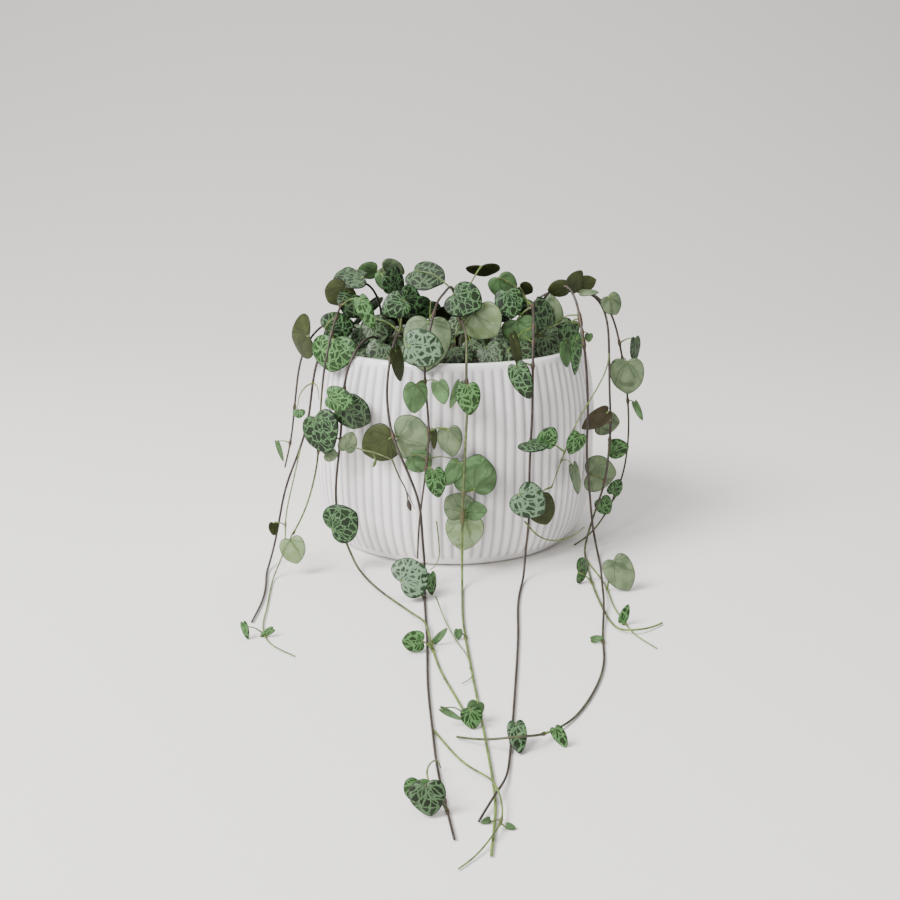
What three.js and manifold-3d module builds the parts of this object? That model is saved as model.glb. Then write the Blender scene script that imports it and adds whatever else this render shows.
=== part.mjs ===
// A string of hearts growing in a ribbed, glazed ceramic pot. The pot stands on a flat surface,
// the stems spill over its rim, and the long ones run out along that surface.
//
// Millimetres, +Z up. The origin is the centre of the pot's underside. The front is -Y and the
// right-hand side is +X.

import * as THREE from 'three';
import { mergeVertices } from 'three/addons/utils/BufferGeometryUtils.js';
import Module from 'manifold-3d';

// ---- driving dimensions -------------------------------------------------------------------

const POT = {
	height: 93,
	rimRadius: 61.5,
	bellyRadius: 67.5,
	bellyHeight: 57,
	baseRadius: 57.3, // where the wall would meet the ground without its rounded corner
	footRadius: 52, // edge of the flat underside
	cornerHeight: 5,
	cornerBands: 3,
	taper: 4.3, // power of the wall's curve below the belly: near upright, then tucked in at the foot
	wall: 4,
	floor: 6,
	sides: 40,
	rings: 6, // bands up the outside of the wall, and again down the inside
};
const SOIL = { top: 85, gap: 1, rings: 5 };
const WELD = 1e-4; // vertices closer than this are one vertex
const OLD_STEM_RADIUS = 0.6;
const YOUNG_STEM_RADIUS = 0.45;
const STEM_SIDES = 6;
const STEM_STEP_LENGTH = 10;
const FEWEST_STEM_STEPS = 8;
const STEM_SEARCH_POINTS = 240; // tried along a stem for the place where a leaf joins it
const LEAF = {
	thickness: 1.2,
	curveSegments: 3,
	middle: 0.435, // from the notch to the middle of the outline, as a share of the blade's length
	cup: 0.012, // rise of the blade's edges, per millimetre squared from the midrib
};
const PETIOLE = {
	radius: 0.42,
	sides: 5,
	steps: 4,
	stemGap: 0.35,
	arch: 0.22, // how high it bows, as a share of its span
	tuck: 0.24, // how far it runs into the blade from the notch, as a share of the blade's length
};

// ---- finishes -----------------------------------------------------------------------------

const finish = (color, roughness) =>
	new THREE.MeshStandardMaterial({ color, roughness, metalness: 0 });

const FINISHES = {
	glaze: finish(0xd8d3d6, 0.3),
	soil: finish(0x2e2520, 0.95),
	oldStem: finish(0x4a3530, 0.6),
	marbled: finish(0x4f7a5a, 0.45),
	underside: finish(0x8fa58a, 0.55),
};

// ---- solids -------------------------------------------------------------------------------

const wasm = await Module();
wasm.setup();

/** The closed geometry as a manifold solid, with shared vertices merged. */
function toSolid(geometry) {
	const bare = geometry.clone();
	bare.deleteAttribute('normal');
	bare.deleteAttribute('uv');
	const welded = mergeVertices(bare, WELD);
	return new wasm.Manifold(
		new wasm.Mesh({
			numProp: 3,
			vertProperties: new Float32Array(welded.attributes.position.array),
			triVerts: new Uint32Array(welded.index.array),
		}),
	);
}

/** Joins closed geometries that touch into one closed geometry. */
function join(geometries) {
	const mesh = geometries
		.map(toSolid)
		.reduce((whole, piece) => whole.add(piece))
		.getMesh();
	const joined = new THREE.BufferGeometry();
	joined.setAttribute('position', new THREE.BufferAttribute(new Float32Array(mesh.vertProperties), 3));
	joined.setIndex(new THREE.BufferAttribute(new Uint32Array(mesh.triVerts), 1));
	joined.computeVertexNormals();
	return joined;
}

/** A regular polygon to sweep along a path. */
function roundSection(radius, sides) {
	const corners = Array.from({ length: sides }, (_, i) => {
		const angle = (2 * Math.PI * i) / sides;
		return new THREE.Vector2(radius * Math.cos(angle), radius * Math.sin(angle));
	});
	return new THREE.Shape(corners);
}

const routeCurve = (points) =>
	new THREE.CatmullRomCurve3(
		points.map((point) => new THREE.Vector3(...point)),
		false,
		'centripetal',
	);

/** A closed round tube along a smooth route. */
function tube(curve, radius, sides, steps) {
	return new THREE.ExtrudeGeometry(roundSection(radius, sides), {
		extrudePath: curve,
		steps,
		bevelEnabled: false,
	});
}

// ---- pot and potting mix ------------------------------------------------------------------

/** Outer radius of the pot's wall at a height: full at the belly, drawn in above and below. */
function wallRadius(z) {
	if (z >= POT.bellyHeight) {
		const share = (z - POT.bellyHeight) / (POT.height - POT.bellyHeight);
		return POT.bellyRadius - (POT.bellyRadius - POT.rimRadius) * share ** 2;
	}
	const share = (POT.bellyHeight - z) / POT.bellyHeight;
	return POT.bellyRadius - (POT.bellyRadius - POT.baseRadius) * share ** POT.taper;
}

/** Profile points in bands from one height to another, set in from the wall's outside. */
function wallPoints(from, to, bands, inset) {
	return Array.from({ length: bands + 1 }, (_, i) => {
		const z = from + ((to - from) * i) / bands;
		return new THREE.Vector2(wallRadius(z) - inset, z);
	});
}

function potGeometry() {
	const corner = new THREE.QuadraticBezierCurve(
		new THREE.Vector2(POT.footRadius, 0),
		new THREE.Vector2(POT.baseRadius, 0),
		new THREE.Vector2(wallRadius(POT.cornerHeight), POT.cornerHeight),
	);
	const outside = wallPoints(POT.cornerHeight, POT.height, POT.rings, 0);
	const inside = wallPoints(POT.height, POT.floor, POT.rings, POT.wall);
	const profile = [
		new THREE.Vector2(0, 0),
		...corner.getPoints(POT.cornerBands).slice(0, -1),
		...outside,
		...inside,
		new THREE.Vector2(0, POT.floor),
	];
	return new THREE.LatheGeometry(profile, POT.sides);
}

function soilGeometry() {
	const bottom = POT.floor + SOIL.gap;
	const side = wallPoints(bottom, SOIL.top, SOIL.rings, POT.wall + SOIL.gap);
	const profile = [new THREE.Vector2(0, bottom), ...side, new THREE.Vector2(0, SOIL.top)];
	return new THREE.LatheGeometry(profile, POT.sides);
}

// LatheGeometry turns about Y, so the turned pieces are stood up on Z.
const standUp = (geometry) => geometry.rotateX(Math.PI / 2);

// ---- stems --------------------------------------------------------------------------------

const ROOT = SOIL.top + 0.6; // where a stem leaves the potting mix
const LYING = 0.85; // height of a stem's centre line where it lies on the surface
const OVER = 3; // and where it crosses over another stem

// Each stem is a route of hand-placed points, from the potting mix to the tip, with the side
// shoots that grow from it.
const STEMS = {
	stem_left_short: {
		route: [
			[-38, -2, ROOT], [-41, -3, 94], [-50, -6, 103], [-60, -11, 102], [-67, -16, 94], [-70, -20, 86],
			[-72, -25, 70], [-74, -29, 52], [-77, -32, 39],
		],
	},
	stem_left_long: {
		route: [
			[-36, -10, ROOT], [-39, -13, 94], [-47, -21, 101], [-56, -30, 99], [-61, -35, 88], [-63, -38, 76],
			[-64, -41, 66], [-68, -42, 52], [-75, -46, 34], [-78, -50, 19], [-80, -52, 9], [-82, -58, 1.2],
			[-82, -66, LYING], [-80, -82, LYING], [-79, -100, LYING], [-80, -122, LYING],
		],
		shoots: [
			[
				[-68, -42, 52], [-71, -50, 38], [-74, -57, 24], [-74, -61, 17], [-73, -65, 12], [-76, -67, 6],
				[-78, -70, 1], [-78, -78, 0.7], [-76, -109, 0.7], [-75, -127, 0.7], [-70, -143, 0.7],
				[-59, -154, 0.7],
			],
		],
	},
	stem_left_front: {
		route: [
			[-30, -4, ROOT], [-32, -4, 98], [-35, -6, 115], [-40, -11, 122], [-45, -20, 120], [-49, -33, 115],
			[-52, -43, 107], [-54, -48, 98], [-56, -51, 88], [-58, -55, 65], [-59, -57, 50], [-62, -59, 36],
			[-66, -62, 25], [-70, -64, 18],
		],
	},
	stem_left_runner: {
		route: [
			[-30, -16, ROOT], [-32, -24, 95], [-35, -37, 101], [-41, -49, 99], [-46, -53, 88], [-48, -52, 72],
			[-50, -51, 53], [-52, -53, 34], [-51, -55, 21], [-47, -58, 11], [-43, -62, 2.8], [-39, -70, 0.9],
			[-31, -88, LYING], [-20, -107, LYING], [-15, -117, 1.4], [-11, -126, OVER], [-9, -138, 1.3],
			[-7, -153, LYING], [-4, -170, LYING], [0, -185, LYING], [4, -201, LYING],
		],
	},
	stem_middle_long: {
		route: [
			[-20, -14, ROOT], [-21, -18, 94], [-23, -34, 102], [-25, -53, 102], [-27, -65, 93], [-28, -68, 80],
			[-26, -72, 66], [-22, -77.5, 57], [-18, -79, 48], [-14, -78, 36], [-13, -79, 22], [-12, -80, 9],
			[-12, -84, 1.4], [-12, -92, LYING], [-10, -139, LYING], [-9, -179, LYING], [-7, -211, LYING],
			[-5, -238, LYING], [0, -276, LYING],
		],
		shoots: [
			[
				[-7, -211, LYING], [-3, -221, LYING], [3, -234, LYING], [8, -243, 2.6], [12.5, -252, 4.8],
				[14, -260, 2.6], [14, -268, 1.4], [11, -276, OVER], [7, -283, 0.8], [1, -290, 0.7],
			],
		],
	},
	stem_middle_arch: {
		route: [
			[3, -4, ROOT], [3, -8, 102], [0, -22, 121], [-4, -40, 120], [-7, -56, 118], [-9, -66, 111],
			[-11, -68.5, 103], [-12, -70, 93], [-11, -71, 80], [-10, -75, 65], [-12, -78.5, 46],
			[-14.5, -80.5, 26], [-15, -82, 13],
		],
	},
	stem_middle_green: {
		route: [
			[2, -12, ROOT], [2, -16, 97], [2, -28, 107], [3, -42, 109], [5, -56, 108], [6, -66, 102],
			[5.5, -71, 93], [6, -73, 78], [5, -75, 54], [4, -76, 24], [4, -77, 9], [4, -82, 1.4],
			[4, -90, LYING], [4, -120, LYING], [7, -172, LYING], [10, -215, LYING], [12, -250, LYING],
			[12, -261, LYING], [10, -284, LYING],
		],
	},
	stem_right_front: {
		route: [
			[32, -8, ROOT], [33, -12, 100], [35, -28, 114], [35, -44, 113], [34.5, -55, 105], [34, -61, 94],
			[34, -64, 74], [33, -67, 50], [33, -68, 24], [31.5, -69, 9], [31, -73, 1.6], [29.5, -81, 0.8],
			[27, -101, LYING], [25, -138, LYING], [21, -190, LYING], [18, -225, LYING], [16, -243, 1.2],
			[12, -256, OVER], [7, -267, LYING],
		],
	},
	stem_right_curl: {
		route: [
			[36, -2, ROOT], [38, -4, 102], [44, -10, 117], [51, -16, 122], [55, -22, 117], [57, -29, 107],
			[59, -36, 92], [60.5, -40, 67], [60, -43, 50], [61.5, -42, 36], [63, -41, 22], [65, -38, 9],
			[66.5, -42, 1.6], [66, -56, 1.3], [65, -68, OVER], [63.5, -86, 2.4], [62, -104, OVER],
			[60, -120, 1.6], [58, -134, LYING], [55, -163, LYING], [48, -187, LYING], [39, -206, LYING],
			[31, -216, 2], [25, -225, 5.4], [20, -228, 7], [11, -225, 4], [1, -217, 0.9],
		],
	},
	stem_right_forked: {
		route: [
			[32, 6, ROOT], [35, 6, 100], [45, 5, 112], [57, 3, 116], [67, 0, 114], [72, -5, 104], [73, -9, 88],
			[73, -16, 70], [73, -24, 57], [71, -34, 46], [70, -37, 36], [67, -36, 24], [64, -33.5, 12],
			[61.5, -35, 3], [60.5, -41, 1], [60.5, -48, LYING], [60, -66, LYING], [60, -85, LYING],
			[61, -105, LYING], [63, -124, LYING], [66, -133, 1.3], [70, -134.5, OVER], [76, -130, 1.2],
			[83, -123, LYING],
		],
		shoots: [
			[
				[60.5, -48, LYING], [61.5, -56, 0.7], [65.5, -82, 0.7], [66, -107, 0.7], [68, -120, 0.7],
				[70, -133, 0.7], [77, -147, 0.7],
			],
			[
				[73, -9, 88], [72, -17, 88], [69, -31, 84], [62, -45, 76], [54, -54, 66], [50, -58, 57], [46, -61, 47],
				[43, -63, 39],
			],
		],
	},
	stem_right_outer: {
		route: [
			[30, 13, ROOT], [33, 13, 100], [42, 12, 112], [56, 10, 116], [68, 8, 113], [75, 4, 105], [79, 0, 91],
			[83, -3, 68], [84, -6, 49], [82, -10, 32], [78, -14, 21], [72, -20, 12], [66, -25, 5.5], [61, -28, 1.8],
			[57, -30, LYING],
		],
	},
};

function stemGeometry({ route, shoots = [] }) {
	const along = (points, radius) => {
		const curve = routeCurve(points);
		const steps = Math.max(FEWEST_STEM_STEPS, Math.round(curve.getLength() / STEM_STEP_LENGTH));
		return tube(curve, radius, STEM_SIDES, steps);
	};
	const main = along(route, OLD_STEM_RADIUS);
	if (shoots.length === 0) return main;
	return join([main, ...shoots.map((points) => along(points, YOUNG_STEM_RADIUS))]);
}

// ---- leaves -------------------------------------------------------------------------------

// A leaf is placed by the middle of its blade and sized by its width across the lobes and its
// length from the notch to the tip. Its angles, in degrees, are: roll, which way the tip points
// as seen from the front (0 down, 90 to the right); lean, how far the face tips up; turn, how
// far it turns to the right. showing says which face is towards the front.
const UPPER = 'marbled';
const UNDER = 'underside';

const LEAVES = [
	// [name, stem, middle, width, length, roll, lean, turn, showing]
	['leaf_crown_left_01', 'stem_left_short', [-69, -22, 98], 21, 15, -80, 0, -50, UNDER],
	['leaf_crown_left_02', 'stem_left_front', [-51, -32.5, 104.5], 14, 13.5, 100, 15, 10, UPPER],
	['leaf_crown_left_03', 'stem_left_front', [-53, -42, 94], 23, 15, 0, 10, -25, UPPER],
	['leaf_crown_left_04', 'stem_left_front', [-46, -22, 125], 18, 14, -90, 68, 0, UPPER],
	['leaf_crown_left_05', 'stem_left_front', [-38, -40, 112], 7.5, 15, 25, 10, 0, UPPER],
	['leaf_crown_left_06', 'stem_middle_long', [-39, -8, 126], 10.5, 9.5, -80, -35, 0, UNDER],
	['leaf_crown_left_07', 'stem_middle_long', [-28, 0, 125.5], 12, 11, 70, -30, 0, UNDER],
	['leaf_crown_left_08', 'stem_middle_arch', [-11.5, -12, 124.5], 19, 16, 60, 52, 0, UPPER],
	['leaf_crown_left_09', 'stem_middle_long', [-25.5, -36, 114], 12.5, 12, -60, 15, 0, UPPER],
	['leaf_crown_middle_01', 'stem_middle_arch', [-11, -61.5, 102], 21, 22, -4, 15, 0, UNDER],
	['leaf_crown_middle_02', 'stem_middle_arch', [-12, -74, 102], 16, 15.5, 80, 5, 0, UPPER],
	['leaf_crown_middle_03', 'stem_middle_green', [5.5, -46, 118], 18, 14, 60, 32, 0, UPPER],
	['leaf_crown_middle_04', 'stem_middle_green', [14, -43, 107.5], 19, 14, 45, -5, 0, UNDER],
	['leaf_crown_middle_05', 'stem_middle_green', [14, -16, 127], 16, 13, 10, -62, 0, UNDER],
	['leaf_crown_right_01', 'stem_right_front', [25, -38, 115.5], 13, 12.5, 10, 15, 0, UPPER],
	['leaf_crown_right_02', 'stem_right_curl', [40.5, -32, 110], 11, 15.5, -160, 5, 30, UPPER],
	['leaf_crown_right_03', 'stem_right_front', [29, -69, 87.5], 10, 15.5, 25, 0, -20, UPPER],
	['leaf_crown_right_04', 'stem_right_curl', [56.5, -8, 121.5], 9, 10.5, 150, -10, 20, UNDER],
	['leaf_crown_right_05', 'stem_right_outer', [74, -7.5, 110.5], 10.5, 10, 30, 0, 20, UNDER],
	['leaf_crown_right_06', 'stem_right_curl', [54, -46, 94.5], 8, 17.5, 0, 0, 45, UPPER],
	['leaf_crown_right_07', 'stem_right_outer', [86, -4, 89], 9, 11.5, 0, 0, 50, UPPER],
	['leaf_crown_right_08', 'stem_right_outer', [82, -9, 77], 16.5, 16, 5, 0, 0, UNDER],
	['leaf_hanging_left_01', 'stem_left_runner', [-48, -67, 79], 11, 12, 80, 5, -15, UPPER],
	['leaf_hanging_left_02', 'stem_left_runner', [-42.5, -61, 71.5], 15.5, 14.5, 60, 0, -10, UPPER],
	['leaf_hanging_left_03', 'stem_left_front', [-56.5, -62, 63], 18, 17, 25, 5, -20, UPPER],
	['leaf_hanging_left_04', 'stem_left_front', [-69.5, -69, 12], 11.5, 11.5, 15, 5, 0, UNDER],
	['leaf_hanging_left_05', 'stem_left_runner', [-48, -66, 24], 18.5, 14, 125, 5, -10, UPPER],
	['leaf_hanging_middle_01', 'stem_middle_arch', [-15.5, -77, 82], 11.5, 12.5, -5, 0, 25, UNDER],
	['leaf_hanging_middle_02', 'stem_middle_long', [-32, -66, 59], 17, 15, -60, 0, -15, UNDER],
	['leaf_hanging_middle_03', 'stem_middle_long', [-17, -71.2, 63.5], 20, 14.5, 95, 0, -5, UNDER],
	['leaf_hanging_middle_04', 'stem_middle_arch', [-1, -72.5, 62], 11, 12.5, 10, 0, 0, UNDER],
	['leaf_hanging_middle_05', 'stem_middle_arch', [-7, -80, 46], 9, 12.5, 10, 0, 10, UPPER],
	['leaf_hanging_middle_06', 'stem_middle_green', [6.5, -77, 81.5], 10.5, 13, 5, 0, 0, UPPER],
	['leaf_hanging_middle_07', 'stem_middle_green', [10, -71, 47], 19, 16.5, 172, 0, 5, UNDER],
	['leaf_hanging_middle_08', 'stem_middle_green', [5, -72, 21], 17, 15, -5, 0, 0, UNDER],
	['leaf_hanging_middle_09', 'stem_middle_long', [-17, -96, 10.6], 18.5, 12.5, 120, 35, 0, UPPER],
	['leaf_hanging_right_01', 'stem_right_front', [33, -74.5, 35.5], 16, 14.5, 50, 0, 5, UPPER],
	['leaf_hanging_right_02', 'stem_right_forked', [38.5, -69, 30.5], 13, 13.5, 20, 0, 10, UNDER],
	['leaf_hanging_right_03', 'stem_right_forked', [53, -60.5, 58], 9, 10, -30, 0, 20, UPPER],
	['leaf_hanging_right_04', 'stem_right_forked', [65, -35, 62.5], 9, 14.5, -60, 0, 15, UNDER],
	['leaf_hanging_right_05', 'stem_right_forked', [72.5, -17.5, 56.5], 12, 13, 85, 0, 30, UNDER],
	['leaf_hanging_right_06', 'stem_right_forked', [77, -24, 46], 10, 9, 100, 0, 0, UPPER],
	['leaf_hanging_right_07', 'stem_right_forked', [68, -32, 36], 18, 14, 90, 0, 10, UNDER],
	['leaf_resting_01', 'stem_right_forked', [71, -87, 8], 12, 14, 25, 25, 0, UNDER],
	['leaf_resting_02', 'stem_left_runner', [-15, -150, 4.8], 8.5, 8, -90, 10, 0, UPPER],
	['leaf_resting_03', 'stem_middle_long', [-7.5, -263, 5.8], 11, 9.5, 10, 15, 0, UPPER],
	['leaf_resting_04', 'stem_right_front', [20.3, -223.5, 4.6], 6.5, 10.5, 5, 50, 0, UPPER],
];

/** A heart outline with its notch at the origin and its tip down -Y. */
function heartShape(width, length) {
	const half = width / 2;
	const shape = new THREE.Shape();
	shape.moveTo(0, 0);
	shape.bezierCurveTo(0.2 * half, 0.2 * length, half, 0.22 * length, half, -0.25 * length);
	shape.bezierCurveTo(half, -0.62 * length, 0.32 * half, -0.86 * length, 0, -length);
	shape.bezierCurveTo(-0.32 * half, -0.86 * length, -half, -0.62 * length, -half, -0.25 * length);
	shape.bezierCurveTo(-half, 0.22 * length, -0.2 * half, 0.2 * length, 0, 0);
	return shape;
}

/** A plump, slightly cupped heart blade, its middle at the origin and its shown face up +Z. */
function bladeGeometry(width, length) {
	const blade = new THREE.ExtrudeGeometry(heartShape(width, length), {
		depth: LEAF.thickness,
		curveSegments: LEAF.curveSegments,
		bevelEnabled: false,
	});
	blade.translate(0, LEAF.middle * length, -LEAF.thickness / 2);
	const position = blade.attributes.position;
	for (let i = 0; i < position.count; i++) {
		const x = position.getX(i);
		position.setZ(i, position.getZ(i) - LEAF.cup * x * x);
	}
	return blade;
}

/** The turn that carries a blade from lying flat to facing the front, then to its own angles. */
function leafRotation(roll, lean, turn) {
	const about = (x, y, z, degrees) =>
		new THREE.Matrix4().makeRotationAxis(new THREE.Vector3(x, y, z), THREE.MathUtils.degToRad(degrees));
	return about(0, 0, 1, turn)
		.multiply(about(1, 0, 0, -lean))
		.multiply(about(1, 0, 0, 90))
		.multiply(about(0, 0, 1, roll));
}

/** The point on a stem's centre lines that is closest to a point. */
function closestOnStem({ route, shoots = [] }, point) {
	const candidates = [route, ...shoots].flatMap((points) =>
		routeCurve(points).getSpacedPoints(STEM_SEARCH_POINTS),
	);
	return candidates.reduce((best, candidate) =>
		candidate.distanceTo(point) < best.distanceTo(point) ? candidate : best,
	);
}

/** A short curved stalk from just off the stem to just inside the blade's notch. */
function petioleGeometry(stem, notch, inside) {
	const anchor = closestOnStem(stem, notch);
	const reach = new THREE.Vector3().subVectors(notch, anchor);
	const clear = OLD_STEM_RADIUS + PETIOLE.stemGap + PETIOLE.radius;
	if (reach.length() < 2 * clear) return null;
	const start = anchor.clone().addScaledVector(reach.clone().normalize(), clear);
	const bend = new THREE.Vector3().lerpVectors(start, notch, 0.5);
	bend.z += PETIOLE.arch * start.distanceTo(notch);
	const curve = new THREE.CatmullRomCurve3([start, bend, notch, inside]);
	return tube(curve, PETIOLE.radius, PETIOLE.sides, PETIOLE.steps);
}

function leafGeometry(stem, middle, width, length, roll, lean, turn) {
	const place = leafRotation(roll, lean, turn).setPosition(...middle);
	const blade = bladeGeometry(width, length).applyMatrix4(place);
	const notch = new THREE.Vector3(0, LEAF.middle * length, 0).applyMatrix4(place);
	const inside = new THREE.Vector3(0, (LEAF.middle - PETIOLE.tuck) * length, 0).applyMatrix4(place);
	const petiole = petioleGeometry(stem, notch, inside);
	return petiole ? join([blade, petiole]) : blade;
}

// ---- assembly -----------------------------------------------------------------------------

function piece(name, geometry, material) {
	const mesh = new THREE.Mesh(geometry, material);
	mesh.name = name;
	return mesh;
}

const plant = new THREE.Group();
plant.add(piece('pot', standUp(potGeometry()), FINISHES.glaze));
plant.add(piece('potting_mix', standUp(soilGeometry()), FINISHES.soil));
for (const [name, stem] of Object.entries(STEMS)) {
	plant.add(piece(name, stemGeometry(stem), FINISHES.oldStem));
}
for (const [name, stem, middle, width, length, roll, lean, turn, showing] of LEAVES) {
	const geometry = leafGeometry(STEMS[stem], middle, width, length, roll, lean, turn);
	plant.add(piece(name, geometry, FINISHES[showing]));
}

export default plant;
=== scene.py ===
"""The looks of a string of hearts in a ribbed, glazed pot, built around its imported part.

Metres, +Z up. The origin is the centre of the pot's underside, and the front is -Y. Sizes and
places are written in millimetres and multiplied by MM where a mesh is made.
"""

import logging
import math
import random
from dataclasses import dataclass, field
from enum import Enum

import bpy
import numpy as np
from mathutils import Matrix, Vector, noise


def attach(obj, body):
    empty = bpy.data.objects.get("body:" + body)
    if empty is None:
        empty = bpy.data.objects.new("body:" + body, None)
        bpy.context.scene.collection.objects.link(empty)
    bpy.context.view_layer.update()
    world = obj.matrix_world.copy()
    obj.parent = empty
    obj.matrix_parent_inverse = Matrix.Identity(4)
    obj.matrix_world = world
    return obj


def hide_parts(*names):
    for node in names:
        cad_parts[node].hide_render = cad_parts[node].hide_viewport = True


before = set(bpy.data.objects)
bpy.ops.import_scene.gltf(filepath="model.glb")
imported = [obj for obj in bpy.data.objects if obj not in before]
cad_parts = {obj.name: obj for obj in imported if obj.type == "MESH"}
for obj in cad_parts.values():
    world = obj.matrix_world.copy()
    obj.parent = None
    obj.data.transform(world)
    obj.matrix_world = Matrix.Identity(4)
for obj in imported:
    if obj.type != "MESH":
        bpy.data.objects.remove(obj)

LOG = logging.getLogger("string_of_hearts")
MM = 0.001
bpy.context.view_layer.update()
BLADE_UV = "blade"  # local place on a leaf blade: 1 unit is 10 mm, the notch is at the origin
UV_MM = 10.0
LEAF_IOR = 1.42
Point = tuple[float, float, float]


# ---- small tools --------------------------------------------------------------------------


def linear(hex_colour: str) -> tuple[float, float, float, float]:
    """Turns an sRGB hex colour into the linear colour that a shader reads.

    Args:
        hex_colour: Six hex digits after a #.

    Returns:
        Red, green, blue and an alpha of 1.
    """
    parts = [int(hex_colour[i : i + 2], 16) / 255 for i in (1, 3, 5)]
    red, green, blue = [p / 12.92 if p <= 0.04045 else ((p + 0.055) / 1.055) ** 2.4 for p in parts]
    return red, green, blue, 1.0


def add(tree: bpy.types.NodeTree, kind: str, inputs: dict | None = None, **settings) -> bpy.types.Node:
    """Adds a node to a material, with its settings, values and links.

    Args:
        tree: The material's node tree.
        kind: The node's type.
        inputs: A value or a socket to link for each input, by the input's name or number.
        **settings: The node's own properties.

    Returns:
        The new node.
    """
    node = tree.nodes.new(kind)
    for key, value in settings.items():
        setattr(node, key, value)
    for key, value in (inputs or {}).items():
        if isinstance(value, bpy.types.NodeSocket):
            tree.links.new(value, node.inputs[key])
        else:
            node.inputs[key].default_value = value
    return node


def only(obj: bpy.types.Object) -> None:
    """Goes to object mode and leaves just this object selected and active.

    Args:
        obj: The object.
    """
    if bpy.context.mode != "OBJECT":
        bpy.ops.object.mode_set(mode="OBJECT")
    bpy.ops.object.select_all(action="DESELECT")
    obj.select_set(True)
    bpy.context.view_layer.objects.active = obj


def deselect() -> None:
    """Leaves nothing selected, so that the next operator acts only on what it makes."""
    if bpy.context.mode != "OBJECT":
        bpy.ops.object.mode_set(mode="OBJECT")
    bpy.ops.object.select_all(action="DESELECT")


def clean(obj: bpy.types.Object, distance: float = 1e-6) -> None:
    """Merges an object's doubled vertices, turns its faces outward and shades it smooth.

    Args:
        obj: The mesh object.
        distance: Vertices closer than this, in metres, are merged.
    """
    only(obj)
    bpy.ops.object.mode_set(mode="EDIT")
    bpy.ops.mesh.select_all(action="SELECT")
    bpy.ops.mesh.remove_doubles(threshold=distance)
    bpy.ops.mesh.normals_make_consistent(inside=False)
    bpy.ops.object.mode_set(mode="OBJECT")
    bpy.ops.object.shade_smooth()


def copy_of(obj: bpy.types.Object, name: str) -> bpy.types.Object:
    """Copies an object with a mesh of its own.

    Args:
        obj: The object to copy.
        name: The copy's name.

    Returns:
        The copy.
    """
    twin = obj.copy()
    twin.data = obj.data.copy()
    twin.name = twin.data.name = name
    bpy.context.scene.collection.objects.link(twin)
    return twin


def joined(objects: list[bpy.types.Object], name: str) -> bpy.types.Object:
    """Joins several mesh objects into the first one and names it.

    Args:
        objects: The objects, at least one.
        name: The name of the whole.

    Returns:
        The whole.
    """
    only(objects[0])
    for obj in objects[1:]:
        obj.select_set(True)
    if len(objects) > 1:
        bpy.ops.object.join()
    whole = bpy.context.view_layer.objects.active
    whole.name = whole.data.name = name
    return whole


def paint(mesh: bpy.types.Mesh, attribute: str, values: np.ndarray) -> None:
    """Writes one number for each vertex to a named attribute of a mesh."""
    layer = mesh.attributes.get(attribute) or mesh.attributes.new(attribute, "FLOAT", "POINT")
    layer.data.foreach_set("value", values.astype(np.float32))


def places(mesh: bpy.types.Mesh) -> np.ndarray:
    """The places of a mesh's vertices, one row each.

    Args:
        mesh: The mesh.

    Returns:
        One row of x, y and z in metres for each vertex.
    """
    flat = np.zeros(len(mesh.vertices) * 3)
    mesh.vertices.foreach_get("co", flat)
    return flat.reshape(-1, 3)


def put(mesh: bpy.types.Mesh, rows: np.ndarray) -> None:
    """Moves a mesh's vertices to new places."""
    mesh.vertices.foreach_set("co", rows.astype(np.float32).ravel())
    mesh.update()


def smooth_route(points: list[Point], spacing: float) -> list[Vector]:
    """Runs a smooth centripetal curve through given points.

    Args:
        points: The points, in millimetres.
        spacing: About how far apart the returned points are, in millimetres.

    Returns:
        Points along the curve, in millimetres, the first and last of the given ones included.
    """
    knots = [Vector(p) for p in points]
    padded = [knots[0] * 2 - knots[1], *knots, knots[-1] * 2 - knots[-2]]
    route = []
    for before, start, end, after in zip(padded, padded[1:], padded[2:], padded[3:]):
        pairs = ((before, start), (start, end), (end, after))
        lead, span, trail = [max(math.sqrt((b - a).length), 1e-4) for a, b in pairs]
        leave = ((start - before) / lead - (end - before) / (lead + span)) * span + (end - start)
        arrive = ((after - end) / trail - (after - start) / (span + trail)) * span + (end - start)
        steps = max(2, round((end - start).length / spacing))
        for step in range(steps):
            t = step / steps
            route.append(
                start * (2 * t**3 - 3 * t**2 + 1)
                + leave * (t**3 - 2 * t**2 + t)
                + end * (3 * t**2 - 2 * t**3)
                + arrive * (t**3 - t**2)
            )
    route.append(knots[-1])
    return route


def tube(name: str, route: list[Vector], radii: list[float], roundness: int = 2) -> bpy.types.Object:
    """Makes a closed round tube of changing thickness.

    Args:
        name: The object's name.
        route: Points along its centre line, in millimetres.
        radii: Its radius at each point, in millimetres.
        roundness: The bevel resolution: 2 gives eight sides.

    Returns:
        The tube as a mesh object.
    """
    deselect()
    curve = bpy.data.curves.new(name, "CURVE")
    curve.dimensions = "3D"
    curve.bevel_depth = MM
    curve.bevel_resolution = roundness
    curve.use_fill_caps = True
    spline = curve.splines.new("POLY")
    spline.points.add(len(route) - 1)
    for point, place, radius in zip(spline.points, route, radii):
        point.co = (*(place * MM), 1.0)
        point.radius = radius
    obj = bpy.data.objects.new(name, curve)
    bpy.context.scene.collection.objects.link(obj)
    only(obj)
    bpy.ops.object.convert(target="MESH")
    obj = bpy.context.view_layer.objects.active
    clean(obj)
    return obj


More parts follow.
